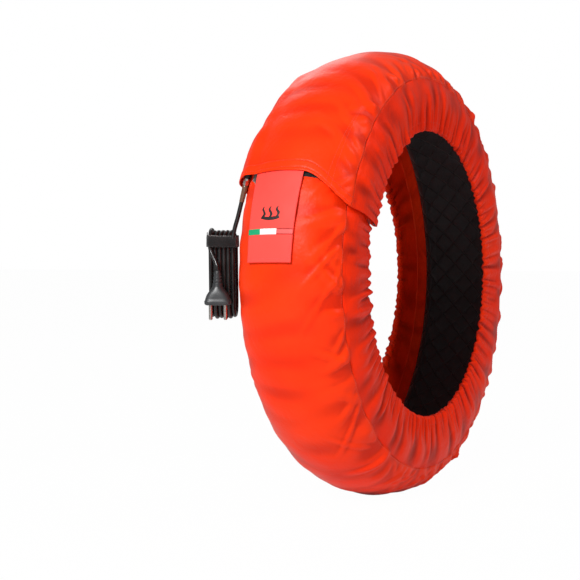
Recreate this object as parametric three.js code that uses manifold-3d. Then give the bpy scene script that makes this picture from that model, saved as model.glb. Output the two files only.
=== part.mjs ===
// A motorcycle tyre warmer: a padded, electrically heated sleeve that wraps once round a front tyre.
// Its lower end lies under a flap, which a pull tab closes with hook and loop over the tread.
// Millimetres, +Z up. The origin is the centre of the wheel, whose axle runs along Y. The closure
// faces -X, the near side is -Y, and the mains lead hangs in a hank on the far side, +Y.

import * as THREE from "three";
import { mergeVertices } from "three/addons/utils/BufferGeometryUtils.js";
import Module from "manifold-3d";

const wasm = await Module();
wasm.setup();

// The tyre that the sleeve is cut for.
const tyreRadius = 300;
const tyreHalfWidth = 61;
const crownHeight = 38; // from the tyre's widest line out to the middle of its tread

// The layers, from the tyre outwards.
const layerGap = 0.3;
const liningThickness = 2;
const ribbonGap = 0.7;
const ribbonThickness = 0.8;
const padThickness = 7;
const coverThickness = 1.6;

// The sleeve's ends, as degrees above the front of the wheel.
const rowStep = 6;
const lowerEnd = 54;
const flapEdge = 25;
const flapNearDrop = 6; // how much lower the flap ends at its near edge
const riseStart = 72; // where the cover begins to rise over the lower end
const riseEnd = 60;
const buttGap = 3;
const flatDepth = 5; // the tread's flat where it stands on the floor

// Degrees across the tread: 0 is the near shoulder, 90 the middle and 180 the far shoulder.
const coverLines = [8, 24, 46, 69, 96, 123, 138, 150, 162, 172];
const coreLines = [24, 46, 69, 96, 123, 150];

// The side covers, from the seam at the shoulder in to the elastic hem.
const sideThickness = 1.4;
const sideDrop = 5; // from the seam's radius in to where the side begins to bulge
const sideLeadIn = 0.72; // the share of the bulge that the side has there
const sideBulge = 79;
const sideBulgeRadius = 240;
const hemRadius = 200.5;
const hemHalfWidth = 72;
const hemOpening = 2.3; // half the width of the fold that holds the elastic
const hemHeight = 10;
const hemFlare = 1.6; // how much the side leans outwards over the hem's height
const seamGap = 0.5;
const gatherStep = rowStep / 2;
const gatherDepth = 2.6;
const elasticThickness = 2;
const elasticHeight = 7;
const elasticClearance = 1.2; // from the bottom of the fold up to the elastic
const hemSink = 3.5; // how far the lower end's hem goes in under the flap
const hemLift = 5.5; // and how far the flap's hem stands out over it

// The closure.
const patchThickness = 1;
const patchFoot = 21.5;
const patchNear = 48;
const patchFar = 136;
const hookFoot = 42;
const tabNear = 69;
const tabFar = 123;
const tabTaper = 4;
const tabFoot = 4;
const tabTop = 34;
const tabThickness = 1.2;
const tabPatchFoot = 5.5;
const tabPatchTop = 17;
const tabPatchNear = 80;
const tabPatchFar = 112;
const stripeFoot = 10.2;
const stripeTop = 11.5;
const printThickness = 0.3;
const symbolFoot = 13.2;
const symbolWidth = 30;
const symbolStroke = 3.4;
const symbolHeight = 17;
const symbolClearance = 0.95; // over the tab, whose facets it crosses

// The joint of the heating ribbon and the lead, in the gap between the sleeve's two ends.
const ribbonWidth = 9;
const ribbonNear = 32;
const ribbonFar = 142;
const ribbonPitch = 3; // in facets round the wheel
const junctionSize = new THREE.Vector3(11, 26, 6);
const junctionAcross = 130;
const thermostatSize = new THREE.Vector3(9, 14, 5);
const thermostatAcross = 102;
const caseClearance = 0.6;

// The lead and its gland.
const cableRadius = 2.8;
const innerLeadRadius = 2;
const innerLeadAcross = 143; // where it runs down under the flap
const innerLeadBend = 10; // degrees that it takes to get there, below the lower end
const glandAround = 26;
const glandAcross = 151;
const glandHeight = 4.8; // from the cover up to the gland's axis
const glandDirection = new THREE.Vector3(0.02, 0.3, -0.954).normalize();
const bootLength = 20;
const bootRadius = 4.3;
const bootTail = 2.6;
const bootClearance = 2; // up to the flap, whose facets cut the curve
const collarLength = 2.4;
const collarRadius = 4.4;
const nutLength = 6;
const nutRadius = 4;
const sleeveLength = 22;
const sleeveRadius = 3.6;
const sleeveTipRadius = 3.1;
const leadNear = 138; // the lead and the gland raise the flap between these places across it
const leadFar = 162;
const leadShoulder = 0.4; // the share of that rise that is left at the seam

// The hank of the lead, which hangs beside the far shoulder.
const hankX = -254;
const hankY = 110;
const hankTurn = 26.1; // degrees about the vertical
const hankTop = 43.4; // the middle of its upper bends
const hankLeg = 76.5;
const hankTurnRadius = 16.8;
const hankColumns = 6;
const hankPitch = 5.75;
const tailForward = 22.7;
const tieFoot = 41;
const tieHeight = 15;
const tieThickness = 1.6;
const tieClosing = 1; // between the band's two ends

// The plug, from the face that its pins stand on.
const plugFace = -33;
const plugForward = 30.4;
const plugSideways = 4;
const plugWidth = 34;
const plugBody = 25;
const plugDepth = 20;
const plugEdge = 3;
const neckLength = 19;
const neckRadius = 6.4;
const neckRibs = 4;
const pinRadius = 2.4;
const pinSpacing = 19;
const pinLength = 19;
const pinSeat = 7;

// What follows from these sizes.
const widestRadius = tyreRadius - crownHeight;
const ribbonInner = liningThickness + ribbonGap;
const padInner = ribbonInner + ribbonThickness + ribbonGap;
const padOuter = padInner + padThickness;
const coverInner = padOuter + layerGap;
const coverOuter = coverInner + coverThickness;
const loopLift = layerGap;
const tabLift = loopLift + 2 * patchThickness + 2 * layerGap;
const flapLift = coverThickness + tabLift;
const flapOverTab = flapLift + tabThickness + layerGap;
const flapOverGland = coverThickness + glandHeight + bootRadius + bootClearance;
const flapOverLead = coverThickness + 2 * innerLeadRadius + 3;
const fullTurn = 360;
const upperEnd = lowerEnd + buttGap - fullTurn;
const nearSeam = coverLines[0];
const farSeam = coverLines.at(-1);
const hankSolidRadius = hankTurnRadius + cableRadius;
const hankWidth = (hankColumns - 1) * hankPitch + 2 * cableRadius;
const tailSideways = hankWidth / 2 - cableRadius;

const materials = {
  shell: fabric(0xff3a14, 0.45),
  sideShell: fabric(0xf5330f, 0.5),
  lining: fabric(0x1c1c1e, 0.9),
  pad: fabric(0xd8d2c4, 0.95),
  elastic: fabric(0x2a2a2c, 0.8),
  hookAndLoop: fabric(0x0d0d0e, 0.95),
  tab: fabric(0xff5147, 0.45),
  ribbon: fabric(0xf2f2ee, 0.6),
  print: fabric(0x141212, 0.6),
  heater: metal(0xb9a77c, 0.4),
  nickel: metal(0xcfcbc6, 0.25),
  rubber: fabric(0x141414, 0.7),
  sleeve: fabric(0x5d4638, 0.6),
  housing: fabric(0xe8e4da, 0.5),
};

function fabric(color, roughness) {
  return new THREE.MeshStandardMaterial({ color, roughness, metalness: 0 });
}

function metal(color, roughness) {
  return new THREE.MeshStandardMaterial({ color, roughness, metalness: 1 });
}

const warmer = new THREE.Group();

function addPiece(name, geometry, material) {
  const mesh = new THREE.Mesh(geometry, material);
  mesh.name = name;
  warmer.add(mesh);
  return mesh;
}

function mix(from, to, share) {
  return from + (to - from) * share;
}

function smooth(value, from, to) {
  const share = THREE.MathUtils.clamp((value - from) / (to - from), 0, 1);
  return share * share * (3 - 2 * share);
}

// A point at an angle round the wheel, at a place along its axle and a radius.
function ringPoint(around, y, radius) {
  const angle = THREE.MathUtils.degToRad(around);
  return new THREE.Vector3(-radius * Math.cos(angle), y, radius * Math.sin(angle));
}

// Where the outline that lies an offset outside the tyre is, as its place on the axle and its radius.
function tyreOutline(across, offset) {
  const t = THREE.MathUtils.degToRad(across);
  const normal = new THREE.Vector2(-Math.cos(t) / tyreHalfWidth, Math.sin(t) / crownHeight);
  normal.setLength(1);
  return {
    y: -tyreHalfWidth * Math.cos(t) + normal.x * offset,
    radius: widestRadius + crownHeight * Math.sin(t) + normal.y * offset,
    normal,
  };
}

// A corner of the sleeve's facets, with the flat that the tread has on the floor.
function facetCorner(around, across, offset) {
  const { y, radius } = tyreOutline(across, offset);
  const point = ringPoint(around, y, radius);
  point.z = Math.max(point.z, flatDepth - tyreRadius - offset);
  return point;
}

// A point on the sleeve's facets. offsetAt(around, across) is its height over the tyre.
function wrapPoint(around, across, offsetAt, lines = coverLines) {
  const low = Math.floor(around / rowStep) * rowStep;
  const next = lines.findIndex((line) => line > across);
  const right = next < 0 ? lines.length - 1 : Math.max(next, 1);
  const [from, to] = [lines[right - 1], lines[right]];
  const along = (line) =>
    facetCorner(low, line, offsetAt(low, line)).lerp(
      facetCorner(low + rowStep, line, offsetAt(low + rowStep, line)),
      (around - low) / rowStep,
    );
  return along(from).lerp(along(to), (across - from) / (to - from));
}

// Numbers from one to another, with each line that lies between them.
function linesBetween(from, to, lines) {
  const near = 0.01;
  const inside = lines.filter((line) => (line - from) * (line - to) < 0);
  inside.sort((a, b) => (a - b) * Math.sign(to - from));
  return [from, ...inside.filter((a) => Math.min(Math.abs(a - from), Math.abs(a - to)) > near), to];
}

// Numbers from one to another in equal steps of about a length, both ends included.
function spread(from, to, step) {
  const count = Math.max(1, Math.round(Math.abs(to - from) / step));
  return Array.from({ length: count + 1 }, (_, i) => mix(from, to, i / count));
}

function rowsBetween(from, to, step = rowStep) {
  const low = Math.ceil(Math.min(from, to) / step);
  const high = Math.floor(Math.max(from, to) / step);
  const rows = Array.from({ length: high - low + 1 }, (_, i) => (low + i) * step);
  return linesBetween(from, to, rows);
}

// A closed body from points and triangles, with its faces turned outwards.
function closedBody(points, triangles) {
  const geometry = new THREE.BufferGeometry().setFromPoints(points);
  let volume = 0;
  for (const [a, b, c] of triangles) {
    volume += points[a].dot(new THREE.Vector3().crossVectors(points[b], points[c]));
  }
  const turned = volume < 0 ? triangles.map(([a, b, c]) => [a, c, b]) : triangles;
  geometry.setIndex(turned.flat());
  return geometry;
}

// A sheet of cloth: point(row, column, face) gives its inner face 0 and its outer face 1, and
// filled(row, column) says which of its cells are there.
function sheet(rows, columns, point, filled = () => true) {
  const points = [];
  const triangles = [];
  const index = (i, j, face) => (i * columns + j) * 2 + face;
  const quad = (a, b, c, d) => triangles.push([a, b, c], [a, c, d]);
  const rim = (a, b) => quad(a, b, b + 1, a + 1);
  const isCell = (i, j) => i >= 0 && j >= 0 && i + 1 < rows && j + 1 < columns && filled(i, j);
  for (let i = 0; i < rows; i++) {
    for (let j = 0; j < columns; j++) {
      points.push(point(i, j, 0), point(i, j, 1));
      if (!isCell(i, j)) continue;
      quad(index(i, j, 1), index(i + 1, j, 1), index(i + 1, j + 1, 1), index(i, j + 1, 1));
      quad(index(i, j, 0), index(i, j + 1, 0), index(i + 1, j + 1, 0), index(i + 1, j, 0));
      if (!isCell(i, j - 1)) rim(index(i, j, 0), index(i + 1, j, 0));
      if (!isCell(i, j + 1)) rim(index(i + 1, j + 1, 0), index(i, j + 1, 0));
      if (!isCell(i - 1, j)) rim(index(i, j + 1, 0), index(i, j, 0));
      if (!isCell(i + 1, j)) rim(index(i + 1, j, 0), index(i + 1, j + 1, 0));
    }
  }
  return closedBody(points, triangles);
}

// A layer of the sleeve from one offset over the tyre to another, which a lift may raise. Its rows
// are angles round the wheel, or functions of the place across the tread.
function layer({ rows, columns = coverLines, lines = coverLines, inner, thickness, lift = noLift, filled }) {
  const place = (i, j, face) => {
    const offsetAt = (around, across) => inner + face * thickness + lift(around, across);
    const around = typeof rows[i] === "function" ? rows[i](columns[j]) : rows[i];
    return wrapPoint(around, columns[j], offsetAt, lines);
  };
  return sheet(rows.length, columns.length, place, filled);
}

function noLift() {
  return 0;
}

function asSolid(geometry) {
  const bare = geometry.clone();
  bare.deleteAttribute("normal");
  bare.deleteAttribute("uv");
  const merged = mergeVertices(bare, 1e-4);
  return new wasm.Manifold(
    new wasm.Mesh({
      numProp: 3,
      vertProperties: merged.attributes.position.array,
      triVerts: new Uint32Array(merged.index.array),
    }),
  );
}

// The same geometry with its faces turned outwards, for one whose points were moved into place.
function facedOut(geometry) {
  const bare = geometry.clone();
  bare.deleteAttribute("normal");
  bare.deleteAttribute("uv");
  const merged = mergeVertices(bare, 1e-4);
  const position = merged.getAttribute("position");
  const points = [];
  for (let i = 0; i < position.count; i++) points.push(new THREE.Vector3().fromBufferAttribute(position, i));
  const triangles = [];
  for (let i = 0; i < merged.index.count; i += 3) {
    triangles.push([merged.index.array[i], merged.index.array[i + 1], merged.index.array[i + 2]]);
  }
  return closedBody(points, triangles);
}

function asGeometry(solid) {
  const mesh = solid.getMesh();
  const geometry = new THREE.BufferGeometry();
  geometry.setAttribute("position", new THREE.BufferAttribute(mesh.vertProperties, 3));
  geometry.setIndex(new THREE.BufferAttribute(mesh.triVerts, 1));
  return geometry;
}

// A turned piece: its profile is [radius, length along the axis], and its axis is +Z.
function turned(profile, sides = 20) {
  const points = profile.map(([radius, length]) => new THREE.Vector2(radius, length));
  return new THREE.LatheGeometry(points, sides).rotateX(Math.PI / 2);
}

// A cord along points, made of a section with a few sides.
function cordTube(points, radius, sides, stepLength) {
  const route = new THREE.CatmullRomCurve3(points, false, "centripetal");
  const section = new THREE.Shape();
  for (let i = 0; i < sides; i++) {
    const angle = (2 * Math.PI * i) / sides;
    const corner = [radius * Math.cos(angle), radius * Math.sin(angle)];
    if (i === 0) section.moveTo(...corner);
    else section.lineTo(...corner);
  }
  return new THREE.ExtrudeGeometry(section, {
    steps: Math.max(2, Math.round(route.getLength() / stepLength)),
    extrudePath: route,
  });
}

// The tread cover, whose upper end is the flap.

function flapEdgeAt(across) {
  return flapEdge - flapNearDrop * smooth(across, tabNear, coverLines[0]);
}

// How far the upper end stands over the lower one: over the patches, the tab, the lead and the gland.
function flapRise(around, across) {
  const overTab = smooth(around, hookFoot, hookFoot - rowStep);
  const plain = mix(flapLift, flapOverTab, overTab);
  const overLead = mix(flapOverLead, flapOverGland, overTab);
  const byLead = smooth(across, tabFar, leadNear) * mix(1, leadShoulder, smooth(across, leadFar, farSeam));
  return mix(plain, overLead, byLead) * smooth(around, riseStart, riseEnd);
}

// The same for the whole spiral, which comes round below zero to the flap.
function coverLift(around, across) {
  return around < lowerEnd - fullTurn / 2 ? flapRise(around + fullTurn, across) : 0;
}

function treadCover() {
  const lastLine = Math.ceil(flapEdge / rowStep) * rowStep - fullTurn;
  const edge = (across) => flapEdgeAt(across) - fullTurn;
  const middle = (across) => mix(lastLine, edge(across), 0.5);
  const rows = [...rowsBetween(lowerEnd, lastLine), middle, edge];
  return layer({ rows, inner: coverInner, thickness: coverThickness, lift: coverLift });
}

addPiece("tread_cover", treadCover(), materials.shell);

// The core: lining, heating ribbon and pad, once round from one end of the sleeve to the other.

function coreLayer(inner, thickness) {
  const rows = rowsBetween(lowerEnd, upperEnd);
  return layer({ rows, columns: coreLines, lines: coreLines, inner, thickness });
}

addPiece("lining", coreLayer(0, liningThickness), materials.lining);
addPiece("insulation_pad", coreLayer(padInner, padThickness), materials.pad);

// The heating ribbon runs to and fro across the tread, in the middle of a facet each time.
function heatingRibbon() {
  const pitch = ribbonPitch * rowStep;
  const halfWidth = THREE.MathUtils.radToDeg(ribbonWidth / 2 / tyreRadius);
  const turnWidth = THREE.MathUtils.radToDeg(ribbonWidth / tyreHalfWidth);
  const rows = [];
  const kinds = [];
  for (let middle = lowerEnd - rowStep / 2; middle - halfWidth > upperEnd; middle -= pitch) {
    if (rows.length) {
      const link = rowsBetween(rows.at(-1), middle + halfWidth).slice(1, -1);
      const end = kinds.filter((kind) => kind === "pass").length % 2 ? "far" : "near";
      rows.push(...link);
      kinds.push(end, ...link.map(() => end));
    }
    rows.push(middle + halfWidth, middle - halfWidth);
    kinds.push("pass");
  }
  const ends = [ribbonNear, ribbonNear + turnWidth, ribbonFar - turnWidth, ribbonFar];
  const columns = [
    ...linesBetween(ends[0], ends[1], coreLines),
    ...linesBetween(ends[1], ends[2], coreLines).slice(1, -1),
    ...linesBetween(ends[2], ends[3], coreLines),
  ];
  const filled = (i, j) => {
    if (kinds[i] === "near") return columns[j] < ends[1] - 0.01;
    if (kinds[i] === "far") return columns[j] > ends[2] - 0.01;
    return true;
  };
  return layer({ rows, columns, lines: coreLines, inner: ribbonInner, thickness: ribbonThickness, filled });
}

addPiece("heating_ribbon", heatingRibbon(), materials.heater);

// The side covers, gathered onto the elastic in their hems.

// A gather stands out on one row and in on the next, with some deeper than others.
function gather(around) {
  const row = Math.floor(around / gatherStep);
  const ridge = (k) => (k % 2 ? 1 : -1) * (0.75 + 0.25 * Math.sin(k * 1.7) * Math.cos(k * 0.43));
  return gatherDepth * mix(ridge(row), ridge(row + 1), around / gatherStep - row);
}

// How far the hem lies in under the flap, or out over the lower end.
function hemLay(around) {
  if (around > lowerEnd - fullTurn / 2) return -hemSink * smooth(around, 0, patchFoot);
  return hemLift * smooth(around + fullTurn, riseStart, riseEnd);
}

// The side's middle line below the seam, as its distance from the middle of the sleeve and its radius.
const foldOuter = hemHalfWidth + hemOpening;
const foldInner = hemHalfWidth - hemOpening;
const sideLine = [
  [mix(-tyreOutline(nearSeam, coverInner).y, sideBulge, sideLeadIn), widestRadius - sideDrop],
  [sideBulge, sideBulgeRadius],
  [foldOuter + hemFlare, hemRadius + hemHeight],
  [foldOuter, hemRadius],
  [foldInner, hemRadius],
  [foldInner - hemFlare / 4, hemRadius + hemHeight],
].map(([y, radius]) => new THREE.Vector2(y, radius));

// How much of the hem's gather and lay a radius has: none at the seam and all in the hem.
function hemShare(radius) {
  return smooth(radius, widestRadius, hemRadius + hemHeight + hemSink);
}

function sideWall(side, around, middle, normal, outset) {
  const share = hemShare(middle.y);
  const seamLift = coverLift(around, side < 0 ? nearSeam : farSeam);
  const lift = mix(seamLift, hemLay(around), share) + gather(around) * mix(0.15, 1, share);
  return ringPoint(around, side * (middle.x + normal.x * outset + lift), middle.y + normal.y * outset);
}

function sideNormal(index) {
  const before = sideLine[Math.max(index - 1, 0)];
  const after = sideLine[Math.min(index + 1, sideLine.length - 1)];
  const along = after.clone().sub(before).normalize();
  return new THREE.Vector2(-along.y, along.x);
}

function sideRows(side) {
  const seam = side < 0 ? nearSeam : farSeam;
  return rowsBetween(lowerEnd, flapEdgeAt(seam) - fullTurn, gatherStep);
}

function sideCover(side) {
  const seam = side < 0 ? nearSeam : farSeam;
  const rows = sideRows(side);
  const place = (i, j, face) => {
    if (j === 0) {
      const offsetAt = (around, across) => coverInner + face * sideThickness + coverLift(around, across);
      const edge = wrapPoint(rows[i], seam, offsetAt);
      const inwards = ringPoint(rows[i], 0, -seamGap);
      return edge.add(inwards);
    }
    return sideWall(side, rows[i], sideLine[j - 1], sideNormal(j - 1), (face - 0.5) * sideThickness);
  };
  return sheet(rows.length, sideLine.length + 1, place);
}

// The elastic follows the gathers of the fold that holds it.
function elastic(side) {
  const rows = sideRows(side);
  const foot = hemRadius + elasticClearance;
  const place = (i, j, face) => {
    const middle = new THREE.Vector2(hemHalfWidth, foot + j * elasticHeight);
    const share = hemShare(hemRadius);
    const lift = hemLay(rows[i]) + gather(rows[i]) * share;
    return ringPoint(rows[i], side * (middle.x + (face - 0.5) * elasticThickness + lift), middle.y);
  };
  return sheet(rows.length, 2, place);
}

for (const [word, side] of [["near", -1], ["far", 1]]) {
  addPiece(`side_cover_${word}`, sideCover(side), materials.sideShell);
  addPiece(`hem_elastic_${word}`, elastic(side), materials.elastic);
}

// The closure: hook and loop over the tread, and the pull tab with its own small pair.

function patch(from, to, near, far, inner, lift = noLift, thickness = patchThickness) {
  const columns = linesBetween(near, far, coverLines);
  return layer({ rows: rowsBetween(from, to), columns, inner, thickness, lift });
}

const loopInner = coverOuter + loopLift;
const hookInner = coverInner - layerGap - patchThickness;
addPiece(
  "closure_loop_patch",
  patch(lowerEnd - 1, patchFoot, patchNear, patchFar, loopInner),
  materials.hookAndLoop,
);
addPiece(
  "closure_hook_patch",
  patch(lowerEnd - 1 - fullTurn, hookFoot - fullTurn, patchNear, tabFar, hookInner, coverLift),
  materials.hookAndLoop,
);
addPiece(
  "tab_loop_patch",
  patch(tabPatchTop, tabPatchFoot, tabPatchNear, tabPatchFar, loopInner),
  materials.hookAndLoop,
);
addPiece(
  "tab_hook_patch",
  patch(
    tabPatchTop,
    tabPatchFoot,
    tabPatchNear,
    tabPatchFar,
    loopInner + patchThickness + layerGap,
  ),
  materials.hookAndLoop,
);

// The tab narrows a little towards its foot.
function tabSide(around, edge) {
  const narrowing = tabTaper * (1 - (around - tabFoot) / (tabTop - tabFoot));
  return edge + Math.sign((tabNear + tabFar) / 2 - edge) * narrowing;
}

const tabInner = coverOuter + tabLift;

// A strip across the tab, from one height to another.
function tabStrip(from, to, inner, thickness) {
  const rows = rowsBetween(from, to);
  const inside = linesBetween(tabNear, tabFar, coverLines).slice(1, -1);
  const count = inside.length + 2;
  const place = (i, j, face) => {
    const sides = [tabSide(rows[i], tabNear), ...inside, tabSide(rows[i], tabFar)];
    return wrapPoint(rows[i], sides[j], () => inner + face * thickness);
  };
  return sheet(rows.length, count, place);
}

addPiece("pull_tab", tabStrip(tabTop, tabFoot, tabInner, tabThickness), materials.tab);
const printInner = tabInner + tabThickness + layerGap;
const symbolInner = printInner + symbolClearance;
addPiece("tab_ribbon", tabStrip(stripeTop, stripeFoot, printInner, printThickness), materials.ribbon);

// A plain sign for heat over a tyre: three wavy lines that rise from a curved bar.
function heatSymbol() {
  const half = symbolWidth / 2;
  const bow = (x) => 2.5 * (x / half) ** 2;
  const steps = 8;
  const outline = [];
  for (let i = 0; i <= steps; i++) {
    const x = mix(-half, half, i / steps);
    outline.push([x, bow(x)]);
  }
  for (const flame of [1, 0, -1]) {
    const base = flame * (half - symbolStroke);
    const wave = (share) => base + 1.4 * Math.sin(2 * Math.PI * share);
    for (const [from, to, edge] of [[0, 1, 0.5], [1, 0, -0.5]]) {
      for (let i = 0; i <= steps; i++) {
        const share = mix(from, to, i / steps);
        const x = wave(share) + edge * symbolStroke;
        outline.push([x, mix(bow(x) + symbolStroke, symbolHeight, share)]);
      }
    }
  }
  const shape = new THREE.Shape(outline.map(([x, height]) => new THREE.Vector2(x, height)));
  const body = new THREE.ExtrudeGeometry(shape, { depth: 1, steps: 1, bevelEnabled: false });
  const position = body.getAttribute("position");
  const aroundStep = THREE.MathUtils.radToDeg(1 / (tyreRadius + tabInner));
  const acrossStep = THREE.MathUtils.radToDeg(1 / (tyreHalfWidth + tabInner));
  for (let i = 0; i < position.count; i++) {
    const across = (tabNear + tabFar) / 2 + position.getX(i) * acrossStep;
    const around = symbolFoot + position.getY(i) * aroundStep;
    const height = symbolInner + position.getZ(i) * printThickness;
    const point = wrapPoint(around, across, () => height);
    position.setXYZ(i, point.x, point.y, point.z);
  }
  return facedOut(body);
}

addPiece("heat_symbol", heatSymbol(), materials.print);

// The splice and the thermostat lie in the gap between the two ends of the core.

// Where the middle of a case lies that stands against the lower end of the core.
function caseAround(size) {
  return lowerEnd + THREE.MathUtils.radToDeg((size.x / 2 + caseClearance) / tyreRadius);
}

// Puts a small case in the gap, standing on the tyre.
function inGap(mesh, size, across) {
  const around = caseAround(size);
  const { y, radius, normal } = tyreOutline(across, layerGap + size.z / 2);
  mesh.position.copy(ringPoint(around, y, radius));
  const up = ringPoint(around, normal.x, normal.y).normalize();
  const alongGap = ringPoint(around + 90, 0, 1);
  const acrossGap = new THREE.Vector3().crossVectors(up, alongGap);
  mesh.setRotationFromMatrix(new THREE.Matrix4().makeBasis(alongGap, acrossGap, up));
}

const junction = addPiece(
  "lead_splice",
  new THREE.BoxGeometry(junctionSize.x, junctionSize.y, junctionSize.z),
  materials.housing,
);
inGap(junction, junctionSize, junctionAcross);
const thermostat = addPiece(
  "thermostat",
  new THREE.BoxGeometry(thermostatSize.x, thermostatSize.y, thermostatSize.z),
  materials.nickel,
);
inGap(thermostat, thermostatSize, thermostatAcross);

// The gland lies on the lower end, under the flap's far corner, and the lead leaves it downwards.

const gland = new THREE.Group();
{
  const { y, radius } = tyreOutline(glandAcross, coverOuter + glandHeight);
  gland.position.copy(ringPoint(glandAround, y, radius));
  gland.quaternion.setFromUnitVectors(new THREE.Vector3(0, 0, 1), glandDirection);
}
warmer.add(gland);

function addToGland(name, geometry, material) {
  const mesh = new THREE.Mesh(geometry, material);
  mesh.name = name;
  gland.add(mesh);
}

const collarFoot = layerGap;
const nutFoot = collarFoot + collarLength + layerGap;
const sleeveFoot = nutFoot + nutLength + layerGap;
const sleeveTip = sleeveFoot + sleeveLength;
addToGland(
  "lead_boot",
  turned([[0, -bootLength], [bootTail, -bootLength], [bootRadius, -bootLength * 0.4], [bootRadius, 0], [0, 0]]),
  materials.rubber,
);
addToGland(
  "gland_collar",
  turned([[0, 0], [collarRadius, 0], [collarRadius, collarLength], [0, collarLength]]
    .map(([r, z]) => [r, z + collarFoot])),
  materials.nickel,
);
addToGland(
  "gland_nut",
  turned([[0, 0], [nutRadius, 0], [nutRadius, nutLength * 0.7], [nutRadius * 0.92, nutLength], [0, nutLength]]
    .map(([r, z]) => [r, z + nutFoot]), 6),
  materials.nickel,
);
addToGland(
  "cable_sleeve",
  turned([[0, 0], [sleeveRadius, 0], [sleeveTipRadius, sleeveLength], [0, sleeveLength]]
    .map(([r, z]) => [r, z + sleeveFoot]), 16),
  materials.sleeve,
);

const onGland = (distance) => glandDirection.clone().multiplyScalar(distance).add(gland.position);

// Inside, the lead runs from the splice over the lower end and down under the flap to the boot.
function innerLead() {
  const high = coverOuter + layerGap + innerLeadRadius + 0.6;
  const at = (around, across, offset) => {
    const { y, radius } = tyreOutline(across, offset);
    return ringPoint(around, y, radius);
  };
  return cordTube(
    [
      at(caseAround(junctionSize), junctionAcross + 8, junctionSize.z + 1.2),
      at(caseAround(junctionSize), junctionAcross + 8, coverOuter + 0.6),
      at(lowerEnd - 0.2, junctionAcross + 9, high + 1.1),
      at(lowerEnd - innerLeadBend / 2, innerLeadAcross - 1, high + 0.4),
      at(lowerEnd - innerLeadBend, innerLeadAcross, high),
      at(hookFoot - 2, innerLeadAcross, high),
      onGland(-bootLength - 5),
      onGland(-bootLength - layerGap),
    ],
    innerLeadRadius,
    8,
    9,
  );
}

addPiece("inner_lead", innerLead(), materials.rubber);

// The hank and its tie. Its own axes are forward, away from the wheel, sideways, and up.

const forward = new THREE.Vector3(-1, 0, 0).applyAxisAngle(
  new THREE.Vector3(0, 0, 1),
  THREE.MathUtils.degToRad(hankTurn),
);
const sideways = new THREE.Vector3().crossVectors(new THREE.Vector3(0, 0, 1), forward).negate();

function hankPoint(u, v, z) {
  return new THREE.Vector3(hankX, hankY, z).addScaledVector(forward, u).addScaledVector(sideways, v);
}

// Turns a piece that was made with x forward, y away from sideways and z up into its place there.
function placeByHank(geometry) {
  const basis = new THREE.Matrix4().makeBasis(
    forward,
    sideways.clone().negate(),
    new THREE.Vector3(0, 0, 1),
  );
  basis.setPosition(hankX, hankY, 0);
  return geometry.applyMatrix4(basis);
}

function hankSolid() {
  const low = hankTop - hankLeg;
  const outline = new THREE.Shape();
  outline.absarc(0, hankTop, hankSolidRadius, 0, Math.PI, false);
  outline.absarc(0, low, hankSolidRadius, Math.PI, 2 * Math.PI, false);
  const body = new THREE.ExtrudeGeometry(outline, {
    depth: hankWidth,
    steps: 1,
    bevelEnabled: false,
    curveSegments: 12,
  });
  // The outline is drawn forward and up, so the body is stood up across the hank.
  body.rotateX(Math.PI / 2).translate(0, hankWidth / 2, 0);
  return placeByHank(body);
}

addPiece("cable_hank", hankSolid(), materials.rubber);
// Where the tail of the lead comes down in front of the hank's upper bends.
function tailAt(height) {
  const rise = Math.max(0, height - hankTop);
  const bend = (tailForward + hankTurnRadius) / 2;
  return tailForward - bend + Math.sqrt(bend ** 2 - rise ** 2);
}

// The band is pulled tight round the hank and the tail. It is given an outset from both.
function tieOutline(height, outset) {
  const rise = Math.max(0, height - hankTop);
  const depth = Math.sqrt(hankSolidRadius ** 2 - rise ** 2);
  const width = hankWidth / 2;
  const tail = tailAt(height);
  const reach = cableRadius + outset;
  const round = (angle) => [
    tail + reach * Math.cos(THREE.MathUtils.degToRad(angle)),
    tailSideways + reach * Math.sin(THREE.MathUtils.degToRad(angle)),
  ];
  return [
    [-1, width + outset],
    [tail, width + outset],
    round(45),
    round(0),
    round(-20),
    [depth + outset, -width],
    [depth, -width - outset],
    [-depth, -width - outset],
    [-depth - outset, -width],
    [-depth - outset, width],
    [-depth, width + outset],
    [-1 - tieClosing, width + outset],
  ];
}

function cableTie() {
  const levels = spread(tieFoot, tieFoot + tieHeight, 5);
  const rows = tieOutline(tieFoot, 0).length;
  const place = (i, j, face) => {
    const [u, v] = tieOutline(levels[j], 2 * layerGap + face * tieThickness)[i];
    return hankPoint(u, v, levels[j]);
  };
  return sheet(rows, levels.length, place);
}

addPiece("cable_tie", cableTie(), materials.hookAndLoop);

// The free stretches of the lead: from the gland into the hank, and from the hank to the plug.

const leadRoute = [
  onGland(sleeveTip + layerGap),
  onGland(sleeveTip + 12),
  hankPoint(12.6, -15.6, 80),
  hankPoint(13.4, -14.6, 70),
  hankPoint(14, -14.4, 59.9),
];
const tailRoute = [
  hankPoint(22.2, 14.4, 48),
  hankPoint(22.7, 14.4, 43),
  hankPoint(23.2, 13.2, 36),
  hankPoint(26.6, 9, 27),
  hankPoint(29.8, 4.8, 18),
  hankPoint(30.4, 4, 13),
  hankPoint(plugForward, plugSideways, plugFace + plugBody + neckLength + layerGap),
];
const leadStep = 2.5 * 2 * cableRadius;
addPiece("power_cable", cordTube(leadRoute, cableRadius, 10, leadStep), materials.rubber);
addPiece("cable_tail", cordTube(tailRoute, cableRadius, 10, leadStep), materials.rubber);

// The plug: a flat body that narrows to a ribbed neck, with two pins.

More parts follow.
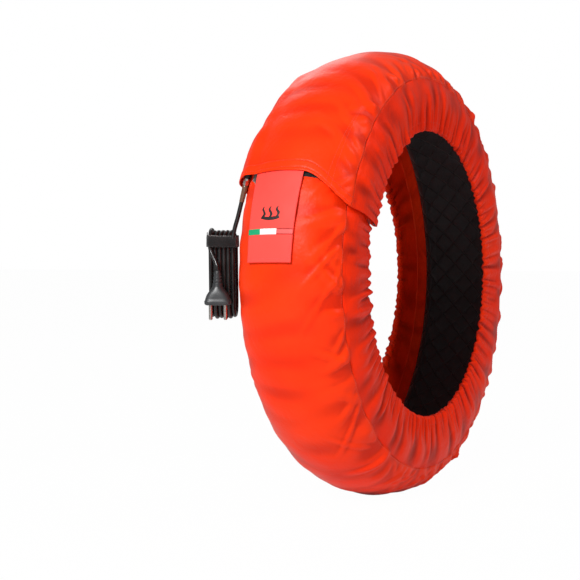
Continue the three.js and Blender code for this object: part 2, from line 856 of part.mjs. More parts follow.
function plug() {
  const half = plugWidth / 2;
  const neck = neckRadius + 1;
  const shoulder = plugBody - plugEdge;
  const outline = new THREE.Shape();
  outline.moveTo(-half + plugEdge, 0);
  outline.lineTo(half - plugEdge, 0);
  outline.bezierCurveTo(half - plugEdge / 2, plugBody * 0.5, neck, plugBody * 0.6, neck - plugEdge, shoulder);
  outline.lineTo(-neck + plugEdge, shoulder);
  outline.bezierCurveTo(-neck, plugBody * 0.6, -half + plugEdge / 2, plugBody * 0.5, -half + plugEdge, 0);
  const slab = new THREE.ExtrudeGeometry(outline, {
    depth: plugDepth - 2 * plugEdge,
    steps: 1,
    bevelThickness: plugEdge,
    bevelSize: plugEdge,
    bevelSegments: 2,
    curveSegments: 5,
  });
  slab.translate(0, 0, plugEdge - plugDepth / 2);
  slab.rotateX(Math.PI / 2).rotateZ(Math.PI / 2);
  slab.translate(0, 0, plugEdge);
  const profile = [[0, 0], [neckRadius, 0]];
  const neckAll = neckLength + plugEdge;
  const neckFoot = 2 * plugEdge;
  const rib = (neckAll - neckFoot - 1) / neckRibs;
  for (let i = 0; i < neckRibs; i++) {
    const radius = mix(neckRadius, cableRadius + 1.2, i / neckRibs);
    const height = neckFoot + i * rib;
    profile.push([radius, height], [radius, height + rib * 0.6], [radius * 0.86, height + rib * 0.6]);
    profile.push([radius * 0.86, height + rib]);
  }
  profile.push([cableRadius + 0.6, neckAll], [0, neckAll]);
  const neckPiece = turned(profile, 14).translate(0, 0, plugBody - plugEdge);
  let solid = asSolid(slab).add(asSolid(neckPiece));
  for (const side of [-1, 1]) {
    const hole = new THREE.CylinderGeometry(pinRadius + layerGap, pinRadius + layerGap, 2 * pinSeat, 16);
    hole.rotateX(Math.PI / 2).translate(0, (side * pinSpacing) / 2, 0);
    solid = solid.subtract(asSolid(hole));
  }
  const body = asGeometry(solid);
  body.translate(plugForward, -plugSideways, plugFace);
  return placeByHank(body);
}

function plugPin(side) {
  const length = pinLength + pinSeat - layerGap;
  const pin = turned([
    [0, 0],
    [pinRadius * 0.6, 0],
    [pinRadius, pinRadius * 0.5],
    [pinRadius, length],
    [0, length],
  ], 16);
  pin.translate(plugForward, -plugSideways + (side * pinSpacing) / 2, plugFace - pinLength);
  return placeByHank(pin);
}

addPiece("plug_body", plug(), materials.rubber);
addPiece("plug_pin_1", plugPin(-1), materials.nickel);
addPiece("plug_pin_2", plugPin(1), materials.nickel);

export default warmer;
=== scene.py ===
# The looks of a motorcycle tyre warmer: gathered nylon covers over a quilted core, a closing flap
# with its pull tab, and the mains lead in a hank. Metres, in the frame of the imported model: the
# wheel's axle runs along Y, the closure faces -X and the near side is -Y.

import math

import bmesh
import bpy
import numpy as np
from mathutils import Matrix, Vector


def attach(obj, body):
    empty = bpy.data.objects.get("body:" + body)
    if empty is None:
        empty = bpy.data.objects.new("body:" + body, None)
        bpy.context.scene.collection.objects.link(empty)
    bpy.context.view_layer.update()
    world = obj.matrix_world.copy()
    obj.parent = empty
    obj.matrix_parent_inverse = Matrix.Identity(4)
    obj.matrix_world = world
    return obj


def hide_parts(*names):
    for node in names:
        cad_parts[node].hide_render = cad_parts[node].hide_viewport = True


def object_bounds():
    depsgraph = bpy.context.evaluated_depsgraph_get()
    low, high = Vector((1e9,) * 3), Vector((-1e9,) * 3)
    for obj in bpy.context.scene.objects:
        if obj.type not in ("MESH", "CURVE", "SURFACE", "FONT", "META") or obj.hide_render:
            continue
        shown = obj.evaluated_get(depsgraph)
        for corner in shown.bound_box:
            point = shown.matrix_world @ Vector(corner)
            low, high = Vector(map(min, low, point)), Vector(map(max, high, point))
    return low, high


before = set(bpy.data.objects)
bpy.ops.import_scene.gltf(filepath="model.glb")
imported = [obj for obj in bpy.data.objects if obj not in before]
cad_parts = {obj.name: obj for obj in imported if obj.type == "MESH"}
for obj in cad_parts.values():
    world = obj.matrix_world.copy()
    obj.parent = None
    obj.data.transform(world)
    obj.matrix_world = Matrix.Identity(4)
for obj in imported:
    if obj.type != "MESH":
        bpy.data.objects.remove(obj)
cad_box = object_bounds()

MM = 0.001

# The tyre that the sleeve is cut for, and the layers from it outwards.
TYRE_RADIUS = 300 * MM
TYRE_HALF_WIDTH = 61 * MM
CROWN_HEIGHT = 38 * MM
WIDEST_RADIUS = TYRE_RADIUS - CROWN_HEIGHT
FLAT_DEPTH = 5 * MM
PAD_INNER = 4.2 * MM
PAD_OUTER = 11.2 * MM
COVER_INNER = 11.5 * MM
COVER_OUTER = 13.1 * MM
COVER = COVER_OUTER - COVER_INNER

# The sleeve's ends, as degrees above the front of the wheel.
LOWER_END = 54
UPPER_END = -303
FLAP_EDGE = 25
FLAP_NEAR_DROP = 6
RISE_START = 72
RISE_END = 60

# Degrees across the tread: 0 is the near shoulder and 180 the far one.
NEAR_SEAM = 8
FAR_SEAM = 172
CORE_NEAR = 24
CORE_FAR = 150
TAB_NEAR = 69
TAB_FAR = 123


def mix(low, high, share):
    return low + (high - low) * share


def smooth(value, start, end):
    share = np.clip((np.asarray(value, float) - start) / (end - start), 0, 1)
    return share * share * (3 - 2 * share)


def bell(value, middle, width):
    return np.exp(-(((value - middle) / width) ** 2))


# The camera stands low in front, and looks a little to the left of the sleeve.
CAMERA_PLACE = (-1.5906, -0.7668, 0.04595)
CAMERA_FORWARD = (0.86378, 0.50239, -0.0386)
CAMERA_RIGHT = (0.50241, -0.86457, -0.00974)
LENS_LENGTH = 76.28


def make_camera():
    forward = Vector(CAMERA_FORWARD).normalized()
    right = Vector(CAMERA_RIGHT).normalized()
    up = right.cross(forward)
    data = bpy.data.cameras.new("camera")
    data.sensor_width = 36
    data.lens = LENS_LENGTH
    data.clip_start = 0.05
    data.clip_end = 60
    camera = bpy.data.objects.new("camera", data)
    turn = Matrix((right, up, -forward)).transposed().to_4x4()
    camera.matrix_world = Matrix.Translation(CAMERA_PLACE) @ turn
    bpy.context.scene.collection.objects.link(camera)
    bpy.context.scene.camera = camera


make_camera()


# Shader helpers. A group gives only colours, masks and heights.

def add_node(tree, kind, inputs=None, **settings):
    made = tree.nodes.new("ShaderNode" + kind)
    for name, value in settings.items():
        setattr(made, name, value)
    for name, value in (inputs or {}).items():
        if isinstance(value, bpy.types.NodeSocket):
            tree.links.new(value, made.inputs[name])
        else:
            made.inputs[name].default_value = value
    return made


def math_node(tree, operation, first, second=0.0):
    return add_node(tree, "Math", {0: first, 1: second}, operation=operation).outputs[0]


def map_range(tree, value, start, end, low, high):
    limits = {"From Min": start, "From Max": end, "To Min": low, "To Max": high}
    return add_node(tree, "MapRange", {"Value": value, **limits}).outputs[0]


def mix_colours(tree, share, first, second):
    return add_node(tree, "Mix", {0: share, 6: first, 7: second}, data_type="RGBA").outputs[2]


def noise_node(tree, place, scale, detail):
    inputs = {"Vector": place, "Scale": scale, "Detail": detail}
    return add_node(tree, "TexNoise", inputs).outputs[0]


def start_group(name, inputs, outputs):
    tree = bpy.data.node_groups.new(name, "ShaderNodeTree")
    for label, kind, value in inputs:
        socket = tree.interface.new_socket(label, in_out="INPUT", socket_type="NodeSocket" + kind)
        if value is not None:
            socket.default_value = value
    for label, kind in outputs:
        tree.interface.new_socket(label, in_out="OUTPUT", socket_type="NodeSocket" + kind)
    return tree, tree.nodes.new("NodeGroupInput").outputs, tree.nodes.new("NodeGroupOutput").inputs


def use_group(tree, group, inputs):
    made = tree.nodes.new("ShaderNodeGroup")
    made.node_tree = group
    for name, value in inputs.items():
        if isinstance(value, bpy.types.NodeSocket):
            tree.links.new(value, made.inputs[name])
        else:
            made.inputs[name].default_value = value
    return made.outputs


# Crossed threads, at so many a metre of the cloth.
def weave_group():
    tree, given, out = start_group(
        "thread_weave",
        [("Place", "Vector", None), ("Threads", "Float", 1600.0)],
        [("Height", "Float")],
    )
    place = add_node(tree, "SeparateXYZ", {0: given["Place"]}).outputs
    turns = math_node(tree, "MULTIPLY", given["Threads"], 2 * math.pi)
    warp = math_node(tree, "SINE", math_node(tree, "MULTIPLY", place["X"], turns))
    weft = math_node(tree, "SINE", math_node(tree, "MULTIPLY", place["Y"], turns))
    tree.links.new(math_node(tree, "MULTIPLY", warp, weft), out["Height"])
    return tree


# Small sharp creases in coated cloth.
def crinkle_group():
    tree, given, out = start_group(
        "coated_crinkle",
        [("Place", "Vector", None), ("Scale", "Float", 40.0), ("Fine", "Float", 0.35)],
        [("Height", "Float")],
    )
    wide = noise_node(tree, given["Place"], given["Scale"], 3.0)
    crease = math_node(tree, "ABSOLUTE", math_node(tree, "SUBTRACT", wide, 0.5))
    fine_scale = math_node(tree, "MULTIPLY", given["Scale"], 3.3)
    small = noise_node(tree, given["Place"], fine_scale, 2.0)
    fine = math_node(tree, "MULTIPLY", small, given["Fine"])
    both = math_node(tree, "ADD", math_node(tree, "MULTIPLY", crease, 2.0), fine)
    tree.links.new(both, out["Height"])
    return tree


# Two tones of one colour in soft patches at random, and a third, darker colour for painted shade in the
# valleys of the folds.
def shade_group():
    tree, given, out = start_group(
        "patchy_tone_and_painted_shade",
        [
            ("Place", "Vector", None),
            ("Scale", "Float", 9.0),
            ("Light", "Color", (1, 1, 1, 1)),
            ("Dark", "Color", (0, 0, 0, 1)),
            ("Painted_Shade", "Color", (0, 0, 0, 1)),
            ("Depth", "Float", 0.0),
        ],
        [("Color", "Color"), ("Patch", "Float")],
    )
    noise = noise_node(tree, given["Place"], given["Scale"], 4.0)
    patch = map_range(tree, noise, 0.35, 0.65, 0.0, 1.0)
    shade = mix_colours(tree, patch, given["Dark"], given["Light"])
    tree.links.new(mix_colours(tree, given["Depth"], shade, given["Painted_Shade"]), out["Color"])
    tree.links.new(patch, out["Patch"])
    return tree


# Upright loops or hooks, for hook and loop tape, felt and elastic.
def pile_group():
    tree, given, out = start_group(
        "short_pile",
        [("Place", "Vector", None), ("Scale", "Float", 900.0)],
        [("Height", "Float")],
    )
    cells = add_node(tree, "TexVoronoi", {"Vector": given["Place"], "Scale": given["Scale"]})
    fuzz = noise_node(tree, given["Place"], given["Scale"], 2.0)
    bent = math_node(tree, "MULTIPLY", fuzz, 0.8)
    tree.links.new(math_node(tree, "SUBTRACT", bent, cells.outputs["Distance"]), out["Height"])
    return tree


# Channels sewn in diamonds, as on a quilted lining. It gives 1 in the middle of each diamond.
def quilt_group():
    tree, given, out = start_group(
        "sewn_diamonds",
        [("Place", "Vector", None), ("Pitch", "Float", 0.03)],
        [("Height", "Float"), ("Seam", "Float")],
    )
    place = add_node(tree, "SeparateXYZ", {0: given["Place"]}).outputs
    puffs = []
    for operation in ("ADD", "SUBTRACT"):
        diagonal = math_node(tree, operation, place["X"], place["Y"])
        turn = math_node(tree, "MULTIPLY", math_node(tree, "DIVIDE", diagonal, given["Pitch"]), math.pi)
        puffs.append(math_node(tree, "ABSOLUTE", math_node(tree, "SINE", turn)))
    low = math_node(tree, "MINIMUM", *puffs)
    tree.links.new(math_node(tree, "POWER", low, 0.45), out["Height"])
    tree.links.new(map_range(tree, low, 0.0, 0.12, 1.0, 0.0), out["Seam"])
    return tree


WEAVE = weave_group()
CRINKLE = crinkle_group()
SHADE = shade_group()
PILE = pile_group()
QUILT = quilt_group()


def srgb(red, green, blue):
    def linear(part):
        part /= 255
        return part / 12.92 if part <= 0.04045 else ((part + 0.055) / 1.055) ** 2.4
    return (linear(red), linear(green), linear(blue), 1.0)


def start_material(name, **sockets):
    material = bpy.data.materials.new(name)
    material.use_nodes = True
    tree = material.node_tree
    shader = next(n for n in tree.nodes if n.type == "BSDF_PRINCIPLED")
    for label, value in sockets.items():
        shader.inputs[label.replace("_", " ")].default_value = value
    coords = tree.nodes.new("ShaderNodeTexCoord").outputs
    return material, tree, shader, coords


def add_bumps(tree, shader, bumps):
    normal = None
    for height, strength, distance in bumps:
        inputs = {"Height": height, "Strength": strength, "Distance": distance}
        if normal is not None:
            inputs["Normal"] = normal
        normal = add_node(tree, "Bump", inputs).outputs[0]
    tree.links.new(normal, shader.inputs["Normal"])


# A colour in two tones at random, and a darker third colour, painted shade, where the depth is 1. It
# gives the patches of the two.
def paint(tree, shader, coords, scale, light, dark, shade_colour=None, depth=0.0):
    colours = {"Light": light, "Dark": dark, "Painted_Shade": shade_colour or dark}
    shade = use_group(
        tree, SHADE, {"Place": coords["Object"], "Scale": scale, "Depth": depth, **colours}
    )
    tree.links.new(shade["Color"], shader.inputs["Base Color"])
    return shade["Patch"]


def vary_roughness(tree, shader, patch, low, high):
    tree.links.new(map_range(tree, patch, 0.0, 1.0, low, high), shader.inputs["Roughness"])


# Coated nylon: a fine weave under a soft gloss, creased, with painted shade: a darker colour in the
# valleys of the folds.
def nylon(name, light, dark, shade_colour, roughness=0.42, crinkle=0.5, threads=1500.0):
    material, tree, shader, coords = start_material(
        name, Sheen_Weight=0.01, Sheen_Roughness=0.4, Specular_IOR_Level=0.11
    )
    shader.inputs["Sheen Tint"].default_value = srgb(255, 170, 160)
    fold_shade = add_node(tree, "Attribute", attribute_name="fold_shade").outputs["Fac"]
    patch = paint(tree, shader, coords, 7.0, light, dark, shade_colour, fold_shade)
    vary_roughness(tree, shader, patch, roughness + 0.06, roughness - 0.05)
    weave = use_group(tree, WEAVE, {"Place": coords["UV"], "Threads": threads})
    creases = use_group(tree, CRINKLE, {"Place": coords["Object"], "Scale": 42.0, "Fine": 0.4})
    add_bumps(
        tree,
        shader,
        [(creases["Height"], crinkle, 1.4 * MM), (weave["Height"], 0.25, 0.05 * MM)],
    )
    return material


# Hook and loop tape, and other short piles.
def pile(name, light, dark, scale=900.0, depth=0.5, roughness=0.85):
    material, tree, shader, coords = start_material(
        name, Roughness=roughness, Sheen_Weight=0.4, Sheen_Roughness=0.5, Specular_IOR_Level=0.25
    )
    paint(tree, shader, coords, 60.0, light, dark)
    loops = use_group(tree, PILE, {"Place": coords["Object"], "Scale": scale})
    add_bumps(tree, shader, [(loops["Height"], 0.8, depth * MM)])
    return material


# Quilted lining: dull black cloth, sunk along its sewn diamonds, with painted shade: a near-black
# colour in the sunk seams.
def quilted(name, light, dark, pitch):
    material, tree, shader, coords = start_material(
        name, Sheen_Weight=0.3, Sheen_Roughness=0.5, Specular_IOR_Level=0.35, Roughness=0.62
    )
    quilt = use_group(tree, QUILT, {"Place": coords["UV"], "Pitch": pitch})
    # The near-black third colour along the seams is painted shade in the sunk channels.
    paint(tree, shader, coords, 14.0, light, dark, srgb(8, 8, 9), quilt["Seam"])
    weave = use_group(tree, WEAVE, {"Place": coords["UV"], "Threads": 1100.0})
    creases = use_group(tree, CRINKLE, {"Place": coords["Object"], "Scale": 70.0, "Fine": 0.4})
    add_bumps(
        tree,
        shader,
        [
            (quilt["Height"], 0.9, 2.2 * MM),
            (creases["Height"], 0.35, 0.8 * MM),
            (weave["Height"], 0.3, 0.08 * MM),
        ],
    )
    return material


# Moulded rubber and plastic: a faint grain, and gloss that changes where it is handled.
def moulded(name, light, dark, roughness, grain=400.0, depth=0.05, worn=0.1):
    material, tree, shader, coords = start_material(name, Specular_IOR_Level=0.5)
    patch = paint(tree, shader, coords, 45.0, light, dark)
    vary_roughness(tree, shader, patch, roughness - worn / 2, roughness + worn / 2)
    grains = use_group(tree, PILE, {"Place": coords["Object"], "Scale": grain})
    add_bumps(tree, shader, [(grains["Height"], 0.4, depth * MM)])
    return material


# Plated metal with fine scratches and a few dull patches.
def plated(name, light, dark, roughness):
    material, tree, shader, coords = start_material(name, Metallic=1.0)
    patch = paint(tree, shader, coords, 160.0, light, dark)
    vary_roughness(tree, shader, patch, roughness + 0.12, roughness)
    scratches = use_group(tree, CRINKLE, {"Place": coords["Object"], "Scale": 700.0, "Fine": 0.6})
    add_bumps(tree, shader, [(scratches["Height"], 0.25, 0.03 * MM)])
    return material


# A woven stripe in three fields, whose width is 1 in its UV map. Thin dark lines edge the last one.
def striped(name, fields, line):
    material, tree, shader, coords = start_material(name, Roughness=0.5, Specular_IOR_Level=0.4)
    place = add_node(tree, "SeparateXYZ", {0: coords["UV"]}).outputs
    colour = fields[0][1]
    for (start, _), (_, after) in zip(fields, fields[1:]):
        past = math_node(tree, "GREATER_THAN", place["Y"], start)
        colour = mix_colours(tree, past, colour, after)
    edge = math_node(tree, "ABSOLUTE", math_node(tree, "SUBTRACT", place["X"], 0.5))
    at_edge = math_node(tree, "GREATER_THAN", edge, 0.38)
    in_last = math_node(tree, "GREATER_THAN", place["Y"], fields[-2][0])
    lined = math_node(tree, "MULTIPLY", at_edge, in_last)
    tree.links.new(mix_colours(tree, lined, colour, line), shader.inputs["Base Color"])
    ribs = use_group(tree, WEAVE, {"Place": coords["Object"], "Threads": 1400.0})
    add_bumps(tree, shader, [(ribs["Height"], 0.4, 0.06 * MM)])
    return material


# The third colour of each shell is painted shade, laid into the valleys of the folds.
SHELL = nylon("orange_nylon", srgb(255, 60, 14), srgb(250, 50, 8), srgb(190, 24, 3), 0.36)
SIDE_SHELL = nylon(
    "orange_nylon_sides", srgb(252, 50, 4), srgb(244, 40, 2), srgb(128, 10, 0), 0.4, 0.8
)
# The tab's cloth and its thread are a pinker copy of the orange nylon and thread: painted highlight of
# the key lamp, laid into their colour.
TAB_HIGHLIGHT_CLOTH = nylon(
    "tab_nylon_painted_highlight", srgb(255, 82, 74), srgb(252, 74, 66), srgb(205, 36, 26), 0.46, 0.12, 1200.0
)
THREAD = pile("orange_thread", srgb(238, 66, 34), srgb(206, 46, 22), 2500.0, 0.05, 0.6)
TAB_HIGHLIGHT_THREAD = pile("tab_thread_painted_highlight", srgb(240, 78, 70), srgb(214, 58, 52), 2500.0, 0.05, 0.6)
LINING_CLOTH = quilted("black_quilting", srgb(34, 34, 37), srgb(22, 22, 24), 0.034)
FELT = pile("wadding_felt", srgb(205, 198, 184), srgb(180, 172, 158), 500.0, 0.8)
ELASTIC = pile("knitted_elastic", srgb(46, 46, 50), srgb(28, 28, 31), 1400.0, 0.3, 0.75)
TAPE = pile("black_loop_tape", srgb(22, 22, 23), srgb(8, 8, 9), 900.0, 0.7)
PRINT = moulded("black_print", srgb(24, 16, 15), srgb(14, 10, 10), 0.55, 900.0, 0.03)
STRIPE = striped(
    "three_colour_stripe",
    [(0.31, srgb(18, 158, 106)), (0.67, srgb(252, 250, 246)), (1.0, srgb(250, 84, 80))],
    srgb(120, 14, 14),
)
JACKET = moulded("black_cable_jacket", srgb(26, 24, 24), srgb(14, 13, 13), 0.3, 300.0, 0.03, 0.16)
PLUG_PLASTIC = moulded("dark_grey_plastic", srgb(50, 52, 54), srgb(38, 40, 42), 0.42, 700.0, 0.08)
RUBBER = moulded("black_rubber", srgb(30, 29, 29), srgb(20, 19, 19), 0.6, 500.0, 0.08)
SHRINK = moulded("brown_shrink_sleeve", srgb(112, 78, 58), srgb(74, 50, 38), 0.26, 260.0, 0.05, 0.1)
CASING = moulded("cream_casing", srgb(228, 222, 208), srgb(212, 205, 190), 0.5)
NICKEL = plated("nickel_plate", srgb(214, 209, 203), srgb(176, 170, 164), 0.18)
FOIL = plated("heater_foil", srgb(196, 176, 130), srgb(168, 148, 104), 0.3)


# Places on the sleeve. All take arrays, with angles in degrees.

def ring_point(around, y, radius):
    angle = np.radians(around)
    return np.stack([-radius * np.cos(angle), y + 0 * angle, radius * np.sin(angle)], -1)


def tyre_outline(across, offset):
    t = np.radians(across)
    slope = np.stack([-np.cos(t) / TYRE_HALF_WIDTH, np.sin(t) / CROWN_HEIGHT], -1)
    slope /= np.linalg.norm(slope, axis=-1, keepdims=True)
    y = -TYRE_HALF_WIDTH * np.cos(t) + slope[..., 0] * offset
    return y, WIDEST_RADIUS + CROWN_HEIGHT * np.sin(t) + slope[..., 1] * offset


# A point over the tyre. The tread is pressed flat where it stands on the floor.
def wrap_point(around, across, offset):
    y, radius = tyre_outline(across, offset)
    point = ring_point(around, y, radius)
    floor = FLAT_DEPTH - TYRE_RADIUS - offset
    soft = 0.7 * MM
    over = (point[..., 2] - floor) / soft
    eased = np.log1p(np.exp(np.clip(over, -30, 30))) + np.maximum(over - 30, 0)
    point[..., 2] = floor + soft * eased
    return point


def away_from_tyre(point):
    ring = Vector((point.x, 0, point.z)).normalized() * WIDEST_RADIUS
    return point - ring


def flap_edge(across):
    return FLAP_EDGE - FLAP_NEAR_DROP * smooth(across, TAB_NEAR, NEAR_SEAM)


# How far the flap stands over the sleeve's lower end: more over the tab, the lead and the gland.
OVER_TAPE, OVER_TAB = 4.5, 6.0
OVER_LEAD, OVER_GLAND = 8.6, 12.7


def flap_rise(around, across):
    over_tab = smooth(around, 42, 36)
    plain = mix(OVER_TAPE, OVER_TAB, over_tab)
    over_lead = mix(OVER_LEAD, OVER_GLAND, over_tab)
    by_lead = smooth(across, TAB_FAR, 138) * mix(1, 0.4, smooth(across, 162, FAR_SEAM))
    return mix(plain, over_lead, by_lead) * smooth(around, RISE_START, RISE_END) * MM


# From here back to its upper end, the cover is what lies over the lower end.
FLAP_SIDE = -126


def cover_lift(around, across):
    return np.where(around < FLAP_SIDE, flap_rise(around + 360, across), 0)


# Folds that run in from a seam. Each has its place, slant, reach, width and depth.
def make_folds(seed, count, reach, width, depth, slant=0.12):
    rng = np.random.default_rng(seed)
    places = np.linspace(-338, 56, count) + rng.uniform(-1.6, 1.6, count)
    return list(
        zip(
            places,
            rng.uniform(-slant, slant, count),
            rng.uniform(*reach, count),
            rng.uniform(*width, count),
            rng.uniform(*depth, count) ** 1.4,
        )
    )


def fold_height(around, inwards, folds):
    height = np.zeros_like(around)
    for place, slant, reach, width, depth in folds:
        beside = (around - place - slant * inwards) / width
        near = (np.abs(beside) < 3.4) & (inwards < reach)
        x = beside[near]
        crest = np.exp(-(x**2)) - 0.42 * np.exp(-((np.abs(x) - 1.7) ** 2) / 0.5)
        height[near] += depth * smooth(inwards[near], reach, reach * 0.15) * crest
    return height


# Slow swells of the padding, as a sum of a few waves.
def swells(around, across, seed, count=9):
    rng = np.random.default_rng(seed)
    total = np.zeros_like(around)
    for _ in range(count):
        total += np.sin(
            np.radians(around) * rng.uniform(14, 52)
            + np.radians(across) * rng.uniform(-3.5, 3.5)
            + rng.uniform(0, 2 * math.pi)
        )
    return total / math.sqrt(count)


TREAD_FOLDS_NEAR = make_folds(11, 170, (14, 78), (0.85, 1.7), (0.9, 2.3), 0.28)
TREAD_FOLDS_FAR = make_folds(12, 130, (12, 46), (0.9, 1.6), (0.3, 1.0), 0.28)


# The flap's two rows of stitches, in millimetres from its edge.
FLAP_ROWS = (13.2, 4.0)


# How far the tread cover's cloth stands off its plain shape.
def tread_relief(around, across):
    near, far = across - NEAR_SEAM, FAR_SEAM - across
    height = fold_height(around, near, TREAD_FOLDS_NEAR) * smooth(near, -2, 15)
    height += fold_height(around, far, TREAD_FOLDS_FAR) * smooth(far, -2, 15)
    height += swells(around, across, 5) * mix(0.45, 1.3, smooth(across, 62, 16))
    height *= mix(1, 0.55, smooth(around, -318, -330))
    from_edge = np.radians(around + 360 - flap_edge(across)) * TYRE_RADIUS / MM
    band = 0.8 * smooth(from_edge, 14.5, 12.6) * smooth(from_edge, -0.5, 1.2)
    grooves = 0.7 * bell(from_edge, FLAP_ROWS[0], 0.9) + 0.5 * bell(from_edge, FLAP_ROWS[1], 0.9)
    return np.maximum(height, -0.9) + band - grooves


def tread_point(around, across, lift=0.0):
    offset = COVER_OUTER + cover_lift(around, across) + tread_relief(around, across) * MM + lift
    return wrap_point(around, across, offset)


# New pieces.

def finish_piece(piece, material, nodes):
    bpy.context.scene.collection.objects.link(piece)
    piece.data.materials.append(material)
    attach(piece, "root")
    if nodes:
        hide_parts(*nodes)
    return piece


def make_piece(name, bm, material, nodes=()):
    mesh = bpy.data.meshes.new(name)
    bm.to_mesh(mesh)
    bm.free()
    mesh.shade_smooth()
    return finish_piece(bpy.data.objects.new(name, mesh), material, nodes)


def face_away(bm, away):
    bm.normal_update()
    lean = 0
    for face in list(bm.faces)[::37]:
        lean += face.normal.dot(away(face.calc_center_median())) * face.calc_area()
    if lean < 0:
        bmesh.ops.reverse_faces(bm, faces=bm.faces)


# A cloth made from a grid. place gives each point, its place on the flat cloth and how much painted
# shade its folds give it there.
def lay_cloth(name, along, across, place, away, thickness, material, nodes=(), offset=-1.0):
    bm = bmesh.new()
    bm.loops.layers.uv.verify()
    bmesh.ops.create_grid(bm, x_segments=along, y_segments=across, size=0.5, calc_uvs=True)
    shares = np.array([tuple(vertex.co[:2]) for vertex in bm.verts]) + 0.5
    points, flat, fold_shade = place(shares[:, 0], shares[:, 1])
    for vertex, point in zip(bm.verts, points):
        vertex.co = point
    face_away(bm, away)
    piece = make_piece(name, bm, material, nodes)
    mesh = piece.data
    corners = np.zeros(len(mesh.loops), np.int32)
    mesh.loops.foreach_get("vertex_index", corners)
    mesh.uv_layers.active.data.foreach_set("uv", flat[corners].astype(np.float32).ravel())
    # How much painted shade each point gets from its folds, for the shell's colour.
    depth = mesh.attributes.new("fold_shade", "FLOAT", "POINT")
    depth.data.foreach_set("value", np.broadcast_to(fold_shade, len(points)).astype(np.float32))
    solidify = piece.modifiers.new("thickness", "SOLIDIFY")
    solidify.thickness = thickness
    solidify.offset = offset
    solidify.use_even_offset = False
    return piece


# The cloth's place on the flat: how far along it and across it, in metres.
def flat_place(around, across, radius=TYRE_RADIUS):
    return np.stack([-np.radians(around) * radius, across * 1.15 * MM], -1)


# Painted shade for the folds: 1 where the cloth sinks to low, 0 from high up.
def painted_fold_shade(height, low, high):
    return smooth(height, high, low)


# How far along a line of points each one is.
def travel(line):
    return np.concatenate([[0], np.cumsum(np.linalg.norm(np.diff(line, axis=0), axis=1))])


# Stitches are short soft beads along a line of points, each lying on the cloth.
def sew(name, lines, material, away, stitch=2.4 * MM, pitch=3.4 * MM, width=0.5 * MM):
    bm, run = bmesh.new(), bmesh.new()
    carrier = bpy.data.meshes.new(name + "_run")
    for line in lines:
        travelled = travel(line)
        for start in np.arange(pitch / 2, travelled[-1] - pitch / 2, pitch):
            ends = [
                Vector([np.interp(start + d, travelled, line[:, k]) for k in range(3)])
                for d in (-stitch / 2, stitch / 2)
            ]
            middle, along = (ends[0] + ends[1]) / 2, (ends[1] - ends[0]).normalized()
            up = Vector(away(middle))
            up = (up - along * up.dot(along)).normalized()
            turn = Matrix((along, up.cross(along), up)).transposed().to_4x4()
            size = Matrix.Diagonal((stitch / 2, width / 2, width / 2, 1))
            bmesh.ops.create_uvsphere(
                run, u_segments=6, v_segments=4, radius=1,
                matrix=Matrix.Translation(middle) @ turn @ size @ Matrix.Rotation(math.pi / 2, 4, "Y"),
            )
            if len(run.verts) > 1200:
                run.to_mesh(carrier)
                bm.from_mesh(carrier)
                run.clear()
    run.to_mesh(carrier)
    bm.from_mesh(carrier)
    run.free()
    bpy.data.meshes.remove(carrier)
    return make_piece(name, bm, material)


# The lead: out of its gland, down into six turns of a hank, and on to the plug. Its places by the
# hank are in millimetres forward, sideways and upwards.

CABLE_RADIUS = 2.8 * MM
LEAD_EXIT = 31.6
GLAND_DIRECTION = np.array([0.02, 0.3, -0.954]) / np.linalg.norm([0.02, 0.3, -0.954])
gland_y, gland_radius = tyre_outline(np.array(151.0), 17.9 * MM)
GLAND = ring_point(np.array(26.0), gland_y, gland_radius)
HANK = np.array([-254, 110, 0]) * MM
HANK_TURN = math.radians(26.1)
FORWARD = np.array([-math.cos(HANK_TURN), -math.sin(HANK_TURN), 0])
SIDEWAYS = np.array([-math.sin(HANK_TURN), math.cos(HANK_TURN), 0])
HANK_TOP = 43.4
HANK_FOOT = -33.1
TURN_RADIUS = 16.8
COLUMNS = 6
PITCH = 5.75
LAST_COLUMN = (COLUMNS - 1) * PITCH / 2
TAIL_FORWARD = 22.7
PLUG_FORWARD = 30.4
PLUG_SIDEWAYS = 4.0
QUARTER_STEPS = [20, 45, 70, 90, 110, 135, 160]


def on_gland(distance):
    return GLAND + GLAND_DIRECTION * distance * MM


def by_hank(forward, sideways, height):
    return HANK + (FORWARD * forward + SIDEWAYS * sideways + np.array([0, 0, height])) * MM


